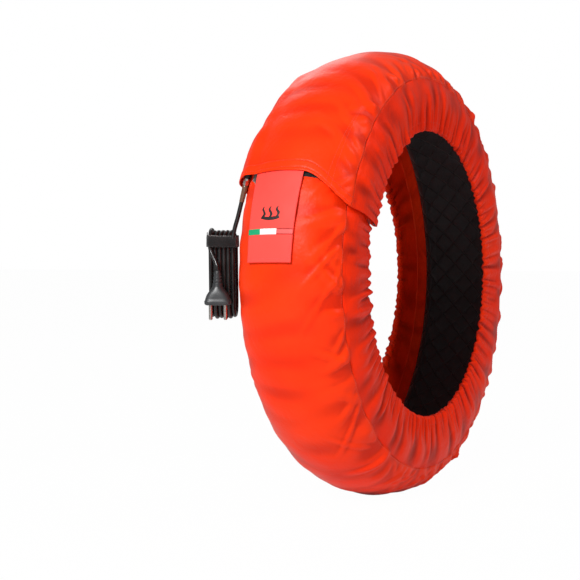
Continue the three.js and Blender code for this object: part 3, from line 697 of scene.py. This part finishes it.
def lead_route():
    points = [
        on_gland(LEAD_EXIT),
        on_gland(37),
        on_gland(44),
        by_hank(18.4, -20.6, 76),
        by_hank(17, -17.7, 67),
        by_hank(16.4, -15.6, 58),
        by_hank(16.4, -14.5, 50),
    ]
    foot_lifts = [2.4, 0.6, 0.0, 1.2, 0.4, 2.8]
    for column in range(COLUMNS):
        place = column * PITCH - LAST_COLUMN
        foot = HANK_FOOT + foot_lifts[column]
        bow = 0.5 + 0.5 * math.sin(2.1 * column)
        leg = np.linspace(0, 1, 6)
        for share in leg:
            out = TURN_RADIUS + bow * math.sin(math.pi * share)
            points.append(by_hank(out, place, mix(HANK_TOP, foot, share)))
        for angle in np.radians(QUARTER_STEPS):
            forward, drop = TURN_RADIUS * math.cos(angle), TURN_RADIUS * math.sin(angle)
            points.append(by_hank(forward, place, foot - drop))
        for share in leg:
            out = TURN_RADIUS + bow * math.sin(math.pi * share)
            points.append(by_hank(-out, place, mix(foot, HANK_TOP, share)))
        last = column == COLUMNS - 1
        front = TAIL_FORWARD if last else TURN_RADIUS
        middle, bend = (front - TURN_RADIUS) / 2, (front + TURN_RADIUS) / 2
        for degrees in reversed(QUARTER_STEPS):
            angle = math.radians(degrees)
            over = 0 if last else PITCH * float(smooth(degrees, 165, 15))
            forward, rise = middle + bend * math.cos(angle), bend * math.sin(angle)
            points.append(by_hank(forward, place + over, HANK_TOP + rise))
    points += [
        by_hank(TAIL_FORWARD, 14.4, 43),
        by_hank(23.2, 13.2, 36),
        by_hank(26.6, 9, 27),
        by_hank(29.8, 4.8, 18),
        by_hank(PLUG_FORWARD, PLUG_SIDEWAYS, 13),
        by_hank(PLUG_FORWARD, PLUG_SIDEWAYS, 10.6),
    ]
    return points


def make_lead():
    curve = bpy.data.curves.new("mains_lead", "CURVE")
    curve.dimensions = "3D"
    curve.bevel_depth = CABLE_RADIUS
    curve.bevel_resolution = 4
    curve.resolution_u = 4
    curve.use_fill_caps = True
    spline = curve.splines.new("BEZIER")
    route = lead_route()
    spline.bezier_points.add(len(route) - 1)
    for knot, point in zip(spline.bezier_points, route):
        knot.co = point
        knot.handle_left_type = knot.handle_right_type = "AUTO"
    piece = bpy.data.objects.new("mains_lead", curve)
    finish_piece(piece, JACKET, ["power_cable", "cable_hank", "cable_tail"])
    return piece


lead = make_lead()


# The band round the hank, with a loose tongue.

TIE_FOOT = 41
TIE_HEIGHT = 15
LEAD_RADIUS = CABLE_RADIUS / MM
HANK_RADIUS = TURN_RADIUS + LEAD_RADIUS
HANK_HALF_WIDTH = LAST_COLUMN + LEAD_RADIUS


# The band's way round the hank and the lead's tail at one height, as places forward and sideways.
def band_outline(height, outset):
    rise = max(0, height - HANK_TOP)
    depth = math.sqrt(HANK_RADIUS**2 - rise**2)
    bend = (TAIL_FORWARD + TURN_RADIUS) / 2
    tail = TAIL_FORWARD - bend + math.sqrt(bend**2 - rise**2)
    reach = LEAD_RADIUS + outset
    width = HANK_HALF_WIDTH
    corners = [(-1, width + outset), (tail * 0.6, width + outset), (tail, width + outset)]
    for degrees in (65, 35, 0, -25):
        angle = math.radians(degrees)
        corners.append((tail + reach * math.cos(angle), LAST_COLUMN + reach * math.sin(angle)))
    corners += [
        (mix(tail + reach, depth + outset, 0.55), 0),
        (depth + outset, -width * 0.75),
        (depth + outset * 0.6, -width - outset * 0.6),
        (depth * 0.7, -width - outset),
        (-depth * 0.7, -width - outset),
        (-depth - outset * 0.6, -width - outset * 0.6),
        (-depth - outset, -width * 0.7),
        (-depth - outset, width * 0.7),
        (-depth - outset * 0.6, width + outset * 0.6),
        (-depth * 0.7, width + outset),
        (-2, width + outset),
    ]
    return np.array(corners)


def make_tie():
    def place(along, across):
        points = np.zeros((len(along), 3))
        for i, (share, level) in enumerate(zip(along, across)):
            height = TIE_FOOT + TIE_HEIGHT * level
            outline = band_outline(height, 2.0)
            travelled = travel(outline)
            at = share * travelled[-1]
            u, v = (np.interp(at, travelled, outline[:, k]) for k in range(2))
            sway = 0.7 * math.sin(9 * share + 1)
            points[i] = by_hank(u, v, height + sway)
        return points, np.stack([along * 0.16, across * 0.015], -1), 0.0

    middle = Vector(by_hank(2, 0, 48))
    tie = lay_cloth(
        "hank_band", 120, 6, place, lambda p: Vector((p.x - middle.x, p.y - middle.y, 0)),
        1.4 * MM, TAPE, ["cable_tie"],
    )

    def tongue_place(along, across):
        u = mix(12, -13, along)
        v = HANK_HALF_WIDTH + 2.3 + 1.0 * smooth(along, 0, 0.2) + 2.2 * along**2
        height = TIE_FOOT + 2 + 11 * across + 6.5 * along**1.5
        points = np.stack([by_hank(a, b, c) for a, b, c in zip(u, v, height)])
        return points, np.stack([along * 0.03, across * 0.011], -1), 0.0

    away = Vector(SIDEWAYS)
    tongue = lay_cloth(
        "band_tongue", 20, 6, tongue_place, lambda p: away, 1.1 * MM, TAPE,
        offset=0.0,
    )
    return tie, tongue


tie, tongue = make_tie()


# The plug: a flat body that narrows to a ribbed neck. Its two pins are the model's own.

PLUG_FACE = -33

# Half the width and half the depth of the plug at each height over its face, and how square it is.
PLUG_LEVELS = [
    (0.0, 14.0, 7.6, 4.0),
    (0.6, 15.8, 9.2, 4.5),
    (2.0, 16.8, 9.9, 5.0),
    (5.5, 17.0, 10.0, 5.0),
    (6.6, 16.2, 9.4, 4.5),
    (9.0, 15.6, 9.2, 4.0),
    (13.0, 14.2, 9.0, 3.6),
    (17.0, 11.6, 8.4, 3.0),
    (20.5, 8.8, 7.4, 2.5),
    (23.0, 7.2, 6.7, 2.1),
    (25.0, 6.6, 6.4, 2.0),
]


def plug_levels():
    levels = list(PLUG_LEVELS)
    height, ribs, rib_pitch = 26.0, 4, 4.2
    for rib in range(ribs):
        radius = mix(6.4, 4.2, rib / ribs)
        for rise, share in ((0.0, 1.0), (2.2, 1.0), (2.6, 0.82), (3.6, 0.82)):
            levels.append((height + rise, radius * share, radius * share, 2.0))
        height += rib_pitch
    levels += [(43.0, 3.7, 3.7, 2.0), (44.0, 3.2, 3.2, 2.0)]
    return levels


def make_plug():
    bm = bmesh.new()
    sides = 48
    circle = bmesh.ops.create_circle(bm, cap_ends=False, radius=1, segments=sides)["verts"]
    angles = [math.atan2(vertex.co.y, vertex.co.x) for vertex in circle]

    def shape(ring, height, width, depth, power):
        for vertex, angle in zip(ring, angles):
            c, s = math.cos(angle), math.sin(angle)
            reach = (abs(c) ** power + abs(s) ** power) ** (-1 / power)
            forward, sideways = PLUG_FORWARD + s * reach * depth, PLUG_SIDEWAYS + c * reach * width
            vertex.co = by_hank(forward, sideways, PLUG_FACE + height)

    levels = plug_levels()
    ring = circle
    shape(ring, *levels[0])
    first = list(ring)
    for level in levels[1:]:
        old = set(ring)
        edges = [edge for edge in bm.edges if edge.verts[0] in old and edge.verts[1] in old]
        grown = bmesh.ops.extrude_edge_only(bm, edges=edges)["geom"]
        fresh = {element for element in grown if isinstance(element, bmesh.types.BMVert)}
        beside = [[edge.other_vert(vertex) for edge in vertex.link_edges] for vertex in ring]
        ring = [next(vertex for vertex in others if vertex in fresh) for others in beside]
        shape(ring, *level)
    bmesh.ops.contextual_create(bm, geom=first)
    bmesh.ops.contextual_create(bm, geom=ring)
    bmesh.ops.recalc_face_normals(bm, faces=bm.faces)
    plug = make_piece("mains_plug", bm, PLUG_PLASTIC, ["plug_body"])
    bevel = plug.modifiers.new("soft_edges", "BEVEL")
    bevel.width = 0.4 * MM
    bevel.segments = 2
    bevel.limit_method = "ANGLE"
    bevel.angle_limit = math.radians(38)
    return plug


plug = make_plug()


# The brown sleeve over the lead's first stretch, shrunk onto it in soft steps.
def make_sleeve():
    bm = bmesh.new()
    profile = [
        (9.3, 0.0), (9.3, 3.3), (9.6, 3.6), (13, 3.62), (16, 3.5), (18.5, 3.55), (21, 3.38),
        (24, 3.42), (27, 3.2), (29.6, 3.22), (30.8, 3.3), (31.2, 3.1), (31.3, 2.9), (31.3, 0.0),
    ]
    vertices = [bm.verts.new((radius * MM, 0, height * MM)) for height, radius in profile]
    edges = [bm.edges.new(pair) for pair in zip(vertices, vertices[1:])]
    bmesh.ops.spin(
        bm, geom=vertices + edges, cent=(0, 0, 0), axis=(0, 0, 1), angle=2 * math.pi,
        steps=32, use_merge=True,
    )
    bmesh.ops.remove_doubles(bm, verts=bm.verts, dist=0.01 * MM)
    turn = Vector((0, 0, 1)).rotation_difference(Vector(GLAND_DIRECTION)).to_matrix().to_4x4()
    bmesh.ops.transform(bm, matrix=Matrix.Translation(GLAND) @ turn, verts=bm.verts)
    bmesh.ops.recalc_face_normals(bm, faces=bm.faces)
    return make_piece("shrink_sleeve", bm, SHRINK, ["cable_sleeve"])


make_sleeve()


# The tread cover. Its last centimetres, the flap's hem, have finer rows.

TREAD_ROWS, TREAD_COLUMNS = 840, 58
FINE_SHARE = 0.06
FINE_DEGREES = 3.8


def tread_rows(share, across):
    edge = flap_edge(across) - 360
    coarse = mix(LOWER_END, edge + FINE_DEGREES, np.minimum(share / (1 - FINE_SHARE), 1))
    fine = np.maximum(share - (1 - FINE_SHARE), 0) / FINE_SHARE
    return coarse - FINE_DEGREES * fine


def tread_place(along, across):
    t = mix(NEAR_SEAM, FAR_SEAM, across)
    s = tread_rows(along, t)
    relief = tread_relief(s, t)
    # The third value is painted shade, darker where the cloth sinks into the valleys of the folds.
    return tread_point(s, t), flat_place(s, t), 0.55 * painted_fold_shade(relief, -1.0, 0.3)


tread = lay_cloth(
    "tread_shell", TREAD_ROWS, TREAD_COLUMNS, tread_place, away_from_tyre, COVER, SHELL,
    ["tread_cover"],
)


# The side covers: a smooth line from the seam, over the bulge and round the hem.

GATHERS = 60
GATHER_HEIGHT = 1.15
SIDE_ROWS, SIDE_COLUMNS = 1040, 42
HEM_COLUMN = 26
HEM_SHARE = 0.70
SIDE_LINE = [
    (73.1, 270.2), (74.8, 264.0), (76.9, 257.0), (78.6, 249.0), (79.0, 240.0), (78.2, 230.0),
    (77.0, 220.0), (75.9, 210.5), (75.2, 205.0), (74.6, 201.6), (73.6, 200.0), (72.0, 199.4),
    (70.4, 200.0), (69.6, 201.8), (69.3, 205.5), (69.3, 210.5),
]
SIDE_FOLDS = {
    "near": make_folds(21, 190, (0.15, 0.95), (0.6, 1.3), (0.7, 1.85), 2.4),
    "far": make_folds(22, 176, (0.15, 0.95), (0.6, 1.25), (0.5, 1.5), 2.0),
}


# The phase of waves that are so many to a radian, and now closer, now wider apart.
def wandering(around, seed, cycles):
    rng = np.random.default_rng(seed)
    turns = np.radians(around)
    phase = turns * cycles
    for _ in range(5):
        sway = rng.uniform(0.3, 0.9)
        phase = phase + sway * np.sin(turns * rng.uniform(3, 17) + rng.uniform(0, 6.28))
    return phase


# Each side's seam, where its panel ends at the flap, and its seed.
def side_values(side):
    seam, seed = (NEAR_SEAM, 31) if side < 0 else (FAR_SEAM, 47)
    return seam, float(flap_edge(seam)) - 360, seed


# The gathers that the elastic draws up, from -1 to 1.
def gather(around, seed):
    strong = 0.72 + 0.28 * np.sin(np.radians(around) * 23 + seed)
    return np.sin(wandering(around, seed, GATHERS)) * strong


# How far the hem stands out: the flap's end of it lies over the lower end's.
def hem_lay(around):
    under = -3.5 * smooth(around, 0, 21.5)
    over = 5.5 * smooth(around + 360, RISE_START, RISE_END)
    return np.where(around > FLAP_SIDE, under, over)


def side_place(word, side):
    seam, end, seed = side_values(side)
    line = np.array(SIDE_LINE)
    steps = travel(line)
    # The columns crowd where the hem turns.
    panel = np.linspace(0, HEM_SHARE, HEM_COLUMN + 1)
    hem_turn = np.linspace(HEM_SHARE, 1, SIDE_COLUMNS - HEM_COLUMN + 1)
    reach = np.concatenate([panel[:-1], hem_turn])

    def place(along, across):
        s = mix(LOWER_END, end, along)
        share = np.interp(across * (len(reach) - 1), np.arange(len(reach)), reach)
        at = share * steps[-1]
        y, radius = (np.interp(at, steps, line[:, k]) for k in range(2))
        hem = smooth(radius, 262, 214)
        inner = smooth(share, 0.80, 0.90)
        main = gather(s, seed)
        small = np.sin(wandering(s, seed + 1, 2.05 * GATHERS))
        bulges = np.sin(wandering(s, seed + 2, 26)) + 0.6 * np.sin(wandering(s, seed + 3, 41))
        folds = fold_height(s, np.clip(0.82 - share, 0, 1), SIDE_FOLDS[word]) * smooth(share, 0.02, 0.2)
        relief = GATHER_HEIGHT * main * mix(0.12, 1, hem) + 0.75 * small * smooth(share, 0.3, 0.8)
        relief += folds * mix(1, 0.5, inner) + 1.1 * bulges * bell(share, 0.22, 0.2)
        lift = mix(cover_lift(s, seam) / MM, hem_lay(s), hem) + relief
        scallop = 0.5 * np.sin(wandering(s, seed + 1, 2.05 * GATHERS) + 0.9)
        scallop *= smooth(share, 0.72, 0.84)
        groove = 0.5 * bell(share, HEM_SHARE, 0.012)
        points = ring_point(s, side * (y + lift - groove) * MM, (radius + scallop) * MM)
        joined = smooth(share, 0.075, 0.0)[:, None]
        edge = tread_point(s, np.full_like(s, float(seam)))
        edge[:, 1] -= side * 0.5 * MM
        points = mix(points, edge, joined)
        flat = np.stack([-np.radians(s) * 0.27, at * MM], -1)
        # The third value is painted shade, darker where the cloth sinks into the valleys of the folds.
        return points, flat, 0.75 * painted_fold_shade(relief, -2.2, 0.6)

    return place


def make_side(word, side):
    seam_face = Vector((0, side, 0))
    piece = lay_cloth(
        f"side_shell_{word}", SIDE_ROWS, SIDE_COLUMNS, side_place(word, side), lambda p: seam_face,
        1.0 * MM, SIDE_SHELL, [f"side_cover_{word}"], 0.0,
    )


# The elastic in the hem.
HEM_MIDDLE = 72.2
ELASTIC_RADIUS = 202.2
ELASTIC_WIDTH = 7


def make_elastic(word, side):
    end, seed = side_values(side)[1:]

    def place(along, across):
        s = mix(LOWER_END, end, along)
        out = HEM_MIDDLE + hem_lay(s) + GATHER_HEIGHT * gather(s, seed)
        points = ring_point(s, side * out * MM, (ELASTIC_RADIUS + ELASTIC_WIDTH * across) * MM)
        return points, np.stack([-np.radians(s) * 0.2, across * ELASTIC_WIDTH * MM], -1), 0.0

    outward = Vector((0, side, 0))
    lay_cloth(
        f"hem_band_{word}", 720, 4, place, lambda p: outward, 1.2 * MM, ELASTIC,
        [f"hem_elastic_{word}"], 0.0,
    )


for word, side in (("near", -1), ("far", 1)):
    make_side(word, side)
    make_elastic(word, side)


# The core: a quilted lining that turns up over the edges of its pad.

def lining_place(along, across):
    s = mix(LOWER_END, UPPER_END, along)
    rim = 0.055
    flat_share = np.clip((across - rim) / (1 - 2 * rim), 0, 1)
    t = mix(CORE_NEAR, CORE_FAR, flat_share)
    up = np.maximum(smooth(across, rim, 0), smooth(across, 1 - rim, 1))
    outwards = np.where(across < 0.5, -1, 1) * 2.2 * np.sin(np.pi * up / 2)
    wave = np.sin(np.radians(s) * 31 + 2) * np.sin(np.radians(t) * 6) * 0.35
    offset = (0.3 + wave * (1 - up) * 0.4 + 10.6 * up) * MM
    points = wrap_point(s, t + outwards, offset)
    return points, np.stack([-np.radians(s) * 0.3, across * 0.16], -1), 0.0


def towards_wheel(point):
    return -away_from_tyre(point)


lining = lay_cloth(
    "quilted_lining", 520, 48, lining_place, towards_wheel, 0.9 * MM, LINING_CLOTH,
    ["lining"],
)


def pad_place(along, across):
    s = mix(LOWER_END - 0.25, UPPER_END + 0.25, along)
    t = mix(CORE_NEAR + 0.6, CORE_FAR - 0.6, across)
    return wrap_point(s, t, PAD_OUTER - 0.1 * MM), flat_place(s, t), 0.0


pad = lay_cloth(
    "core_wadding", 300, 26, pad_place, away_from_tyre, PAD_OUTER - PAD_INNER - 0.2 * MM, FELT,
    ["insulation_pad"],
)
pad_edges = pad.modifiers.new("round_edges", "BEVEL")
pad_edges.width = 2.2 * MM
pad_edges.segments = 3
pad_edges.limit_method = "ANGLE"
pad_edges.angle_limit = math.radians(60)


# The closure's tapes: from one end to the other, between two sides, over an inner face.
TAPE_THICKNESS = 1.0


def lay_tape(name, node, ends, sides, inner, lift=None, slant=0.0):
    def place(along, across):
        t = mix(sides[0], sides[1], across)
        s = mix(ends[0], ends[1] + slant * (smooth(t, 112, 78) + smooth(t, 122, 134)), along)
        offset = (inner + TAPE_THICKNESS) * MM + (lift(s, t) if lift else 0)
        return wrap_point(s, t, offset), np.stack([along, across], -1), 0.0

    thickness = TAPE_THICKNESS * MM
    lay_cloth(name, 40, 30, place, away_from_tyre, thickness, TAPE, [node])


LOOP_INNER, HOOK_INNER, FLAP_HOOK_INNER = 13.4, 14.7, 10.2
TAB_PATCH = ((17, 5.5), (80, 112))
lay_tape("loop_tape", "closure_loop_patch", (53, 21.5), (48, 136), LOOP_INNER, slant=2.6)
lay_tape(
    "hook_tape", "closure_hook_patch", (-307, -318), (48, 123), FLAP_HOOK_INNER, lift=cover_lift
)
lay_tape("tab_loop_tape", "tab_loop_patch", *TAB_PATCH, LOOP_INNER)
lay_tape("tab_hook_tape", "tab_hook_patch", *TAB_PATCH, HOOK_INNER)


# The pull tab, from its top under the flap to its foot.


TAB_TOP = 34
TAB_FOOT = 4
TAB_TAPER = 3.5
TAB_LEFT = 125
TAB_RIGHT = 66
TAB_SURFACE = 17.2


# The tab's face: nearly taut, with its edges and its foot a little lifted.
def tab_offset(around, across):
    side = smooth(across, TAB_RIGHT + 12, TAB_RIGHT + 3)
    side = np.maximum(side, smooth(across, TAB_LEFT - 12, TAB_LEFT - 3))
    foot = smooth(around, TAB_FOOT + 2.5, TAB_FOOT)
    swell = 0.35 * np.sin(np.radians(around) * 40) * np.sin(np.radians(across) * 7 + 1)
    return (TAB_SURFACE + 0.5 * foot + 0.25 * side + swell * (1 - side) * 0.6) * MM


def tab_place(along, across):
    s = mix(TAB_TOP, TAB_FOOT, along)
    narrowing = TAB_TAPER * along
    t = mix(TAB_RIGHT + narrowing, TAB_LEFT - narrowing, across)
    return wrap_point(s, t, tab_offset(s, t)), np.stack([along * 0.17, across * 0.07], -1), 0.0


tab = lay_cloth(
    "closing_tab", 110, 48, tab_place, away_from_tyre, 1.1 * MM, TAB_HIGHLIGHT_CLOTH,
    ["pull_tab"],
)


def stripe_place(along, across):
    s = mix(11.5, 10.2, along)
    narrowing = TAB_TAPER * (TAB_TOP - s) / (TAB_TOP - TAB_FOOT)
    t = mix(TAB_LEFT - narrowing - 0.15, TAB_RIGHT + narrowing + 0.15, across)
    return wrap_point(s, t, tab_offset(s, t) + 0.35 * MM), np.stack([along, across], -1), 0.0


lay_cloth(
    "tab_stripe", 6, 60, stripe_place, away_from_tyre, 0.3 * MM, STRIPE,
    ["tab_ribbon"],
)


# A sign for heat over a tyre: three waves that rise from a curved bar.
def make_symbol():
    half, stroke, top = 15.0, 3.9, 17.5
    outline = []
    steps = 20

    def bow(x):
        return 2.6 * (x / half) ** 2

    for x in np.linspace(-half, half, steps + 1):
        outline.append((x, bow(x)))
    for flame in (1, 0, -1):
        base = flame * (half - stroke)
        for shares, edge in ((np.linspace(0, 1, steps), 0.5), (np.linspace(1, 0, steps), -0.5)):
            for share in shares:
                thin = mix(1, 0.45, smooth(share, 0.55, 1))
                x = base + 1.7 * math.sin(2 * math.pi * share) + edge * stroke * float(thin)
                outline.append((x, mix(bow(x) + stroke, top, share)))
    bm = bmesh.new()
    bm.faces.new([bm.verts.new((x, height, 0)) for x, height in outline])
    bm.normal_update()
    bmesh.ops.triangulate(bm, faces=bm.faces, quad_method="BEAUTY", ngon_method="EAR_CLIP")
    for cut in np.arange(-14, 15, 2.0):
        for place, normal in (((cut, 0, 0), (1, 0, 0)), ((0, cut + 3, 0), (0, 1, 0))):
            everything = bm.verts[:] + bm.edges[:] + bm.faces[:]
            bmesh.ops.bisect_plane(bm, geom=everything, dist=1e-4, plane_co=place, plane_no=normal)
    flat = np.array([tuple(vertex.co[:2]) for vertex in bm.verts])
    s = 13.4 + np.degrees(flat[:, 1] * MM / 0.317)
    t = (TAB_LEFT + TAB_RIGHT) / 2 - np.degrees(flat[:, 0] * MM / 0.0772)
    for vertex, point in zip(bm.verts, wrap_point(s, t, tab_offset(s, t) + 0.2 * MM)):
        vertex.co = point
    face_away(bm, away_from_tyre)
    symbol = make_piece("heat_sign", bm, PRINT, ["heat_symbol"])
    solidify = symbol.modifiers.new("thickness", "SOLIDIFY")
    solidify.thickness = 0.12 * MM


make_symbol()


# Sewn lines on the shell, the hems and the tab.

STITCH_LIFT = 0.1 * MM


def along_flap(from_edge):
    t = np.linspace(9.5, 170.5, 240)
    s = flap_edge(t) - 360 + np.degrees(from_edge * MM / TYRE_RADIUS)
    return tread_point(s, t, 0.15 * MM)


def round_tread(across):
    s = np.linspace(53, -332, 2400)
    return tread_point(s, np.full(len(s), float(across)), STITCH_LIFT)


# Places along a path of corners, as degrees around and across.
def spread(path, count):
    path = np.array(path, float)
    shares = np.linspace(0, len(path) - 1, count)
    return [np.interp(shares, np.arange(len(path)), path[:, k]) for k in range(2)]


def on_tread(path):
    return tread_point(*spread(path, 60), STITCH_LIFT)


sew(
    "flap_stitching",
    [
        *(along_flap(row) for row in FLAP_ROWS),
        on_tread([(-337.5, 43), (-322, 36), (-312, 31)]),
        on_tread([(-338.5, 37), (-322, 32.5), (-312, 30)]),
    ],
    THREAD, away_from_tyre,
)
for word, across in (("near", 10.6), ("far", 169.4)):
    sew(
        f"seam_stitching_{word}", [round_tread(across)], THREAD, away_from_tyre,
        2.6 * MM, 3.8 * MM,
    )

for word, side in (("near", -1), ("far", 1)):
    stretch = np.linspace(0.004, 0.996, 2200)
    column = np.full(len(stretch), HEM_COLUMN / SIDE_COLUMNS)
    hem_line = side_place(word, side)(stretch, column)[0]
    hem_line[:, 1] += side * 0.55 * MM
    sew(
        f"hem_stitching_{word}", [hem_line], THREAD,
        lambda p, side=side: Vector((0, side, 0)), 2.4 * MM, 3.6 * MM,
    )


def on_tab(path):
    s, t = spread(path, 80)
    return wrap_point(s, t, tab_offset(s, t) + 0.12 * MM)


sew(
    "tab_stitching",
    [
        on_tab([(24, 69.4), (4.9, 71.6)]),
        on_tab([(24, 121.6), (4.9, 119.4)]),
        on_tab([(4.75, 71.8), (4.75, 119.2)]),
    ],
    TAB_HIGHLIGHT_THREAD, away_from_tyre, 2.0 * MM, 3.0 * MM, 0.42 * MM,
)


# The model's own pieces that keep their shape get their finishes.
for name, material in {
    "heating_ribbon": FOIL,
    "lead_boot": RUBBER,
    "inner_lead": RUBBER,
    "lead_splice": CASING,
    "thermostat": NICKEL,
    "gland_collar": NICKEL,
    "gland_nut": NICKEL,
    "plug_pin_1": NICKEL,
    "plug_pin_2": NICKEL,
}.items():
    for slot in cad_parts[name].material_slots:
        slot.material = material


# The floor, the white surround and the lamps.

MIRRORED_WHITE = 0.12
FLOOR_WHITE = 0.985
FLOOR_HALF_WIDTH = 12
FLOOR_GAP = 0.1 * MM
AMBIENT_COLOUR = (1.0, 0.985, 0.97, 1)
AMBIENT_STRENGTH = 0.22
WHITE = (1, 1, 1, 1)


# How much of the plain white surround a ray meets: all for the camera, and part for a reflection.
def camera_share(tree, amount):
    rays = tree.nodes.new("ShaderNodeLightPath").outputs
    mirrored = math_node(tree, "MULTIPLY", rays["Is Glossy Ray"], MIRRORED_WHITE)
    seen = math_node(tree, "MAXIMUM", rays["Is Camera Ray"], mirrored)
    seen = math_node(tree, "MAXIMUM", seen, rays["Is Transmission Ray"])
    return math_node(tree, "MULTIPLY", seen, amount)


def make_floor():
    bm = bmesh.new()
    bmesh.ops.create_grid(bm, x_segments=1, y_segments=1, size=FLOOR_HALF_WIDTH)
    bmesh.ops.translate(bm, verts=bm.verts, vec=(0, 0, cad_box[0].z - FLOOR_GAP))
    mesh = bpy.data.meshes.new("floor")
    bm.to_mesh(mesh)
    bm.free()
    floor = bpy.data.objects.new("floor", mesh)
    bpy.context.scene.collection.objects.link(floor)
    pale = (0.86, 0.86, 0.86, 1)
    material, tree, shader, _ = start_material("pale_floor", Base_Color=pale, Roughness=0.9)
    white = add_node(tree, "Emission", {"Color": WHITE, "Strength": 1.0}).outputs[0]
    share = camera_share(tree, FLOOR_WHITE)
    both = add_node(tree, "MixShader", {0: share, 1: shader.outputs[0], 2: white})
    out = next(n for n in tree.nodes if n.type == "OUTPUT_MATERIAL")
    tree.links.new(both.outputs[0], out.inputs["Surface"])
    mesh.materials.append(material)


def make_world():
    world = bpy.data.worlds.new("studio")
    bpy.context.scene.world = world
    world.use_nodes = True
    tree = world.node_tree
    tree.nodes.clear()
    light = add_node(tree, "Background", {"Color": AMBIENT_COLOUR, "Strength": AMBIENT_STRENGTH})
    white = add_node(tree, "Background", {"Color": WHITE, "Strength": 1.0})
    share = camera_share(tree, 1.0)
    both = add_node(tree, "MixShader", {0: share, 1: light.outputs[0], 2: white.outputs[0]})
    out = tree.nodes.new("ShaderNodeOutputWorld")
    tree.links.new(both.outputs[0], out.inputs["Surface"])


def add_lamp(name, place, size, power):
    data = bpy.data.lights.new(name, "AREA")
    data.shape = "DISK"
    data.size = size
    data.energy = power
    lamp = bpy.data.objects.new(name, data)
    lamp.location = place
    lamp.rotation_euler = (-Vector(place)).to_track_quat("-Z", "Y").to_euler()
    bpy.context.scene.collection.objects.link(lamp)


make_floor()
make_world()
add_lamp("key_lamp", (-2.4, -0.1, 1.25), 0.5, 60)
add_lamp("side_lamp", (0.5, -2.3, 1.9), 0.8, 22)
add_lamp("back_lamp", (1.8, 1.6, 1.9), 1.2, 10)

bpy.context.scene.view_settings.view_transform = "Standard"
